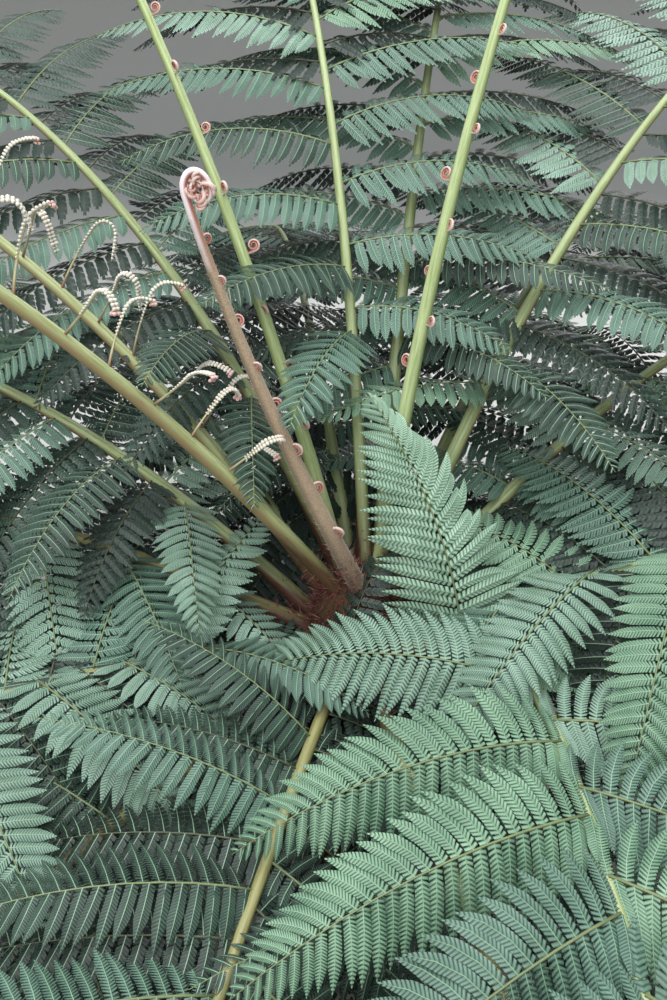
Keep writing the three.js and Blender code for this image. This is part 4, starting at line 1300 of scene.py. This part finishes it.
def bead_skin():
    """Rolled leaflets no bigger than a bead: woolly white, with pink where they crowd at the tip."""
    material, tree = fresh_material("woolly_bead")
    place = add(tree, "TexCoord", {})
    wool = add(tree, "TexNoise", {"Vector": (place, "Object"), "Scale": 600.0, "Detail": 3.0})
    pink = add(tree, "Attribute", {}, attribute_name="pink")
    pale = add(tree, "Mix", {0: (wool, "Fac"), 6: linear("#e9e4da"), 7: linear("#c6beac")}, data_type="RGBA")
    rosy = add(tree, "Mix", {0: (wool, "Fac"), 6: linear("#ecc9c4"), 7: linear("#bd8078")}, data_type="RGBA")
    skin = add(tree, "Mix", {0: (pink, "Fac"), 6: (pale, 2), 7: (rosy, 2)}, data_type="RGBA")
    bump = add(tree, "Bump", {"Height": (wool, "Fac"), "Strength": 0.7, "Distance": 0.0008})
    shader = add(tree, "BsdfPrincipled", {"Base Color": (skin, 2), "Normal": (bump, "Normal"),
                                          "Roughness": 0.8, "Sheen Weight": 0.4})
    add(tree, "OutputMaterial", {"Surface": (shader, "BSDF")})
    return material


wool = bead_skin()
leaf_stalk = frond_stalk("pale_leaf_stalk", "#b3ab84", "#a08c6c", "#7c5c42", "#c5bf9d")
for name in ("unfurling_back", "unfurling_front"):
    lines = stalk_lines(YOUNG[name])
    stalks = tubes(name + "_stalks", lines[:4], STALK_SIDES, leaf_stalk, "young", [name])
    each = np.ones((len(lines[0]), STALK_STEPS, STALK_SIDES))
    near = np.clip(1 - np.arange(STALK_STEPS) / STALK_BROWN_STEPS, 0, 1)[None, :, None]
    attribute(stalks, "near_foot", (near * each).ravel())
    attribute(stalks, "under", (STALK_UNDER * each).ravel())
    ways = np.arange(STALK_STEPS) * np.full((len(lines[0]), 1), STALK_STEP)
    lengthways_grain(stalks, ways, STALK_SIDES)
    beads(name, bead_places(lines), wool)


# The heart of the crown is packed with papery scales, crimson and brown. They are narrow strips that
# grow from the trunk's top and from the foot of each stem, curve down a little and come to a point.
# The crozier's stem has fine pale hairs, made in the same way.
SCALE_STEPS = 4
CROWN_FROM = 560
SCALES_ON_TRUNK = 2600
SCALES_ON_FOOT = 110
FOOT_SCALES_TO = 95.0
YOUNG_SCALES_TO = 90.0
HAIRS_ON_CROZIER = 1500
HAIRS_TO = 700.0
SCALE_LENGTHS = (10, 24)
SCALE_WIDTHS = (1.4, 2.6)
SCALE_POINT = 1.5
SCALE_SPLAY = 0.35
SCALE_CURVE = (0.5, 0.5)
SCALE_SEAT = 0.96
SCALE_FORWARD = 0.9
TRUNK_CROWDING = 0.8
FOOT_CROWDING = 1.7
HAIR_LENGTHS = (4, 9)
HAIR_WIDTH = 0.5
HAIR_CURVE = 0.6
RED_SHARE = 0.45


def strips(name, base, out, bend, length, width, material, slot):
    """Many narrow curved strips, each with its root at a base point."""
    t = np.linspace(0, 1, SCALE_STEPS + 1)[None, :, None]
    across = unit(np.cross(out, bend))[:, None]
    point = base[:, None] + length[:, None, None] * (out[:, None] * t + bend[:, None] * 0.5 * t ** 2)
    half = width[:, None, None] * (1 - t[:, :-1] ** SCALE_POINT) * 0.5
    left, right = point[:, :-1] + across * half, point[:, :-1] - across * half
    corners = np.concatenate([left, right, point[:, -1:]], axis=1)
    k = np.arange(SCALE_STEPS - 1)
    quads = np.stack([k, k + 1, SCALE_STEPS + k + 1, SCALE_STEPS + k], -1)
    last = np.array([[SCALE_STEPS - 1, 2 * SCALE_STEPS, 2 * SCALE_STEPS - 1]])
    first = (np.arange(len(base)) * corners.shape[1])[:, None, None]
    faces = [(quads + first).reshape(-1, 4), (last + first).reshape(-1, 3)]
    joined(name, corners.reshape(-1, 3), faces, material, slot)


def trunk_scale_roots(count):
    """Points all over the top of the trunk, with the directions out of it."""
    top = TRUNK_RINGS[-1][0]
    height = CROWN_FROM + (top - CROWN_FROM) * curl_chance.random(count) ** TRUNK_CROWDING
    turn = curl_chance.uniform(0, 2 * np.pi, count)
    radius = np.array([trunk_radius(z) for z in height])
    middle = np.array([bow(z) for z in height])
    base = np.stack([middle + radius * np.cos(turn), radius * np.sin(turn), height], -1)
    rise = np.clip((height - 600) / 120, 0.15, 1.6)
    return base, unit(np.stack([np.cos(turn), np.sin(turn), rise], -1))


def foot_scale_roots(frond, count, to):
    """Points all round the foot of a stem, with the directions out of it."""
    way = to * curl_chance.random(count) ** FOOT_CROWDING
    point, along, left, over = stem_at(frond, way)
    turn = curl_chance.uniform(0, 2 * np.pi, (count, 1))
    radial = left * np.cos(turn) + over * np.sin(turn)
    base = point + radial * stem_radius(frond, way)[:, None] * SCALE_SEAT
    return base, unit(radial + along * SCALE_FORWARD)


def papery_scale(name, light, dark):
    """Thin papery scale or hair: dry and dull, with lighter and darker streaks that end sharply."""
    material, tree = fresh_material(name)
    place = add(tree, "TexCoord", {})
    streak = add(tree, "TexNoise", {"Vector": (place, "Object"), "Scale": 90.0, "Detail": 3.0})
    sharp = add(tree, "MapRange", {"Value": (streak, "Fac"), "From Min": 0.3, "From Max": 0.7})
    skin = add(tree, "Mix", {0: (sharp, "Result"), 6: linear(light), 7: linear(dark)}, data_type="RGBA")
    shader = add(tree, "BsdfPrincipled", {"Base Color": (skin, 2), "Roughness": 0.55})
    add(tree, "OutputMaterial", {"Surface": (shader, "BSDF")})
    return material


roots = [trunk_scale_roots(SCALES_ON_TRUNK)]
roots += [foot_scale_roots(frond, SCALES_ON_FOOT, FOOT_SCALES_TO) for frond in FRONDS]
roots += [foot_scale_roots(frond, SCALES_ON_FOOT, YOUNG_SCALES_TO) for frond in YOUNG.values()]
base = np.concatenate([part[0] for part in roots])
out = np.concatenate([part[1] for part in roots])
out = unit(out + curl_chance.normal(0, SCALE_SPLAY, out.shape))
length = curl_chance.uniform(*SCALE_LENGTHS, len(base))
red = curl_chance.random(len(base)) < RED_SHARE
for name, chosen, light, dark in (("crimson", red, "#8d4446", "#4b1f22"),
                                  ("brown", ~red, "#6f5140", "#2f1e15")):
    count = int(chosen.sum())
    bend = curl_chance.normal(0, SCALE_CURVE[0], (count, 3)) - UP * SCALE_CURVE[1]
    width = curl_chance.uniform(*SCALE_WIDTHS, count)
    strips("crown_scales_" + name, base[chosen], out[chosen], bend, length[chosen], width,
           papery_scale(name + "_scale", light, dark), "bark")

hair_base, hair_out = foot_scale_roots(YOUNG["crozier"], HAIRS_ON_CROZIER, HAIRS_TO)
strips("crozier_hairs", hair_base, hair_out, curl_chance.normal(0, HAIR_CURVE, hair_base.shape),
       curl_chance.uniform(*HAIR_LENGTHS, len(hair_base)), np.full(len(hair_base), HAIR_WIDTH),
       papery_scale("pale_hair", "#d8c2a8", "#b08c6c"), "crozier")


# The floor and lights are a plain studio: pale paper that lies at ground level and sweeps up all round,
# far out from the plant, under broad soft lamps.
PAPER_RINGS = (
    (12.0, 0.0), (13.0, 0.0), (14.2, 0.15), (15.2, 0.6), (15.9, 1.4), (16.3, 2.6), (16.4, 4.5),
    (16.4, 9.0),
)
PAPER_SIDES = 96
SKY = ("#dfe6ea", 0.5)
LAMP_SIZE = 4.0
LIT_POINT = (0, 0, 0.9)
LAMPS = (("lamp_above", (-0.6, -0.4, 5.6), 270), ("lamp_front", (-0.8, -4.4, 3.8), 200),
         ("lamp_behind", (2.0, 4.6, 4.0), 160))
LENS = 30.6
LOOKS_DOWN = 28


def paper_sweep():
    """The paper: a round floor whose edge is drawn out and up, quite matt, so that no lamp shines in it."""
    bpy.ops.object.select_all(action="DESELECT")
    bpy.ops.mesh.primitive_circle_add(vertices=PAPER_SIDES, radius=PAPER_RINGS[0][0], fill_type="NGON")
    floor = bpy.context.object
    floor.name = "floor"
    bpy.ops.object.mode_set(mode="EDIT")
    bpy.ops.mesh.select_mode(type="EDGE")
    bpy.ops.mesh.region_to_loop()
    for (near, low), (far, high) in zip(PAPER_RINGS, PAPER_RINGS[1:]):
        bpy.ops.mesh.extrude_edges_move(TRANSFORM_OT_translate={"value": (0, 0, high - low)})
        share = far / near
        bpy.ops.transform.resize(value=(share, share, 1), center_override=(0, 0, high))
    bpy.ops.mesh.select_mode(type="VERT")
    bpy.ops.object.mode_set(mode="OBJECT")
    bpy.ops.object.shade_smooth()
    material, tree = fresh_material("pale_paper")
    shader = add(tree, "BsdfPrincipled", {"Base Color": linear("#cfcfcb"), "Roughness": 0.9,
                                          "Specular IOR Level": 0.0})
    add(tree, "OutputMaterial", {"Surface": (shader, "BSDF")})
    floor.data.materials.append(material)
    return floor


def studio():
    """Floor, sky and lamps."""
    paper_sweep()
    world = bpy.data.worlds.new("soft_sky")
    world.use_nodes = True
    background = world.node_tree.nodes["Background"]
    background.inputs["Color"].default_value = linear(SKY[0])
    background.inputs["Strength"].default_value = SKY[1]
    bpy.context.scene.world = world
    for name, place, power in LAMPS:
        lamp = bpy.data.lights.new(name, "AREA")
        lamp.size = LAMP_SIZE
        lamp.energy = power
        holder = bpy.data.objects.new(name, lamp)
        holder.location = place
        towards = Vector(LIT_POINT) - Vector(place)
        holder.rotation_euler = towards.to_track_quat("-Z", "Y").to_euler()
        bpy.context.scene.collection.objects.link(holder)


def take_camera():
    """The camera stands at eye height and looks down into the crown, as the photograph does."""
    data = bpy.data.cameras.new("camera")
    data.lens = LENS
    data.clip_start = 0.01
    camera = bpy.data.objects.new("camera", data)
    camera.location = (-0.04, -1.275, 1.59)
    camera.rotation_euler = (math.radians(90 - LOOKS_DOWN), 0, 0)
    bpy.context.scene.collection.objects.link(camera)
    bpy.context.scene.camera = camera


studio()
take_camera()
bpy.context.scene.view_settings.view_transform = "Standard"
bpy.context.view_layer.update()
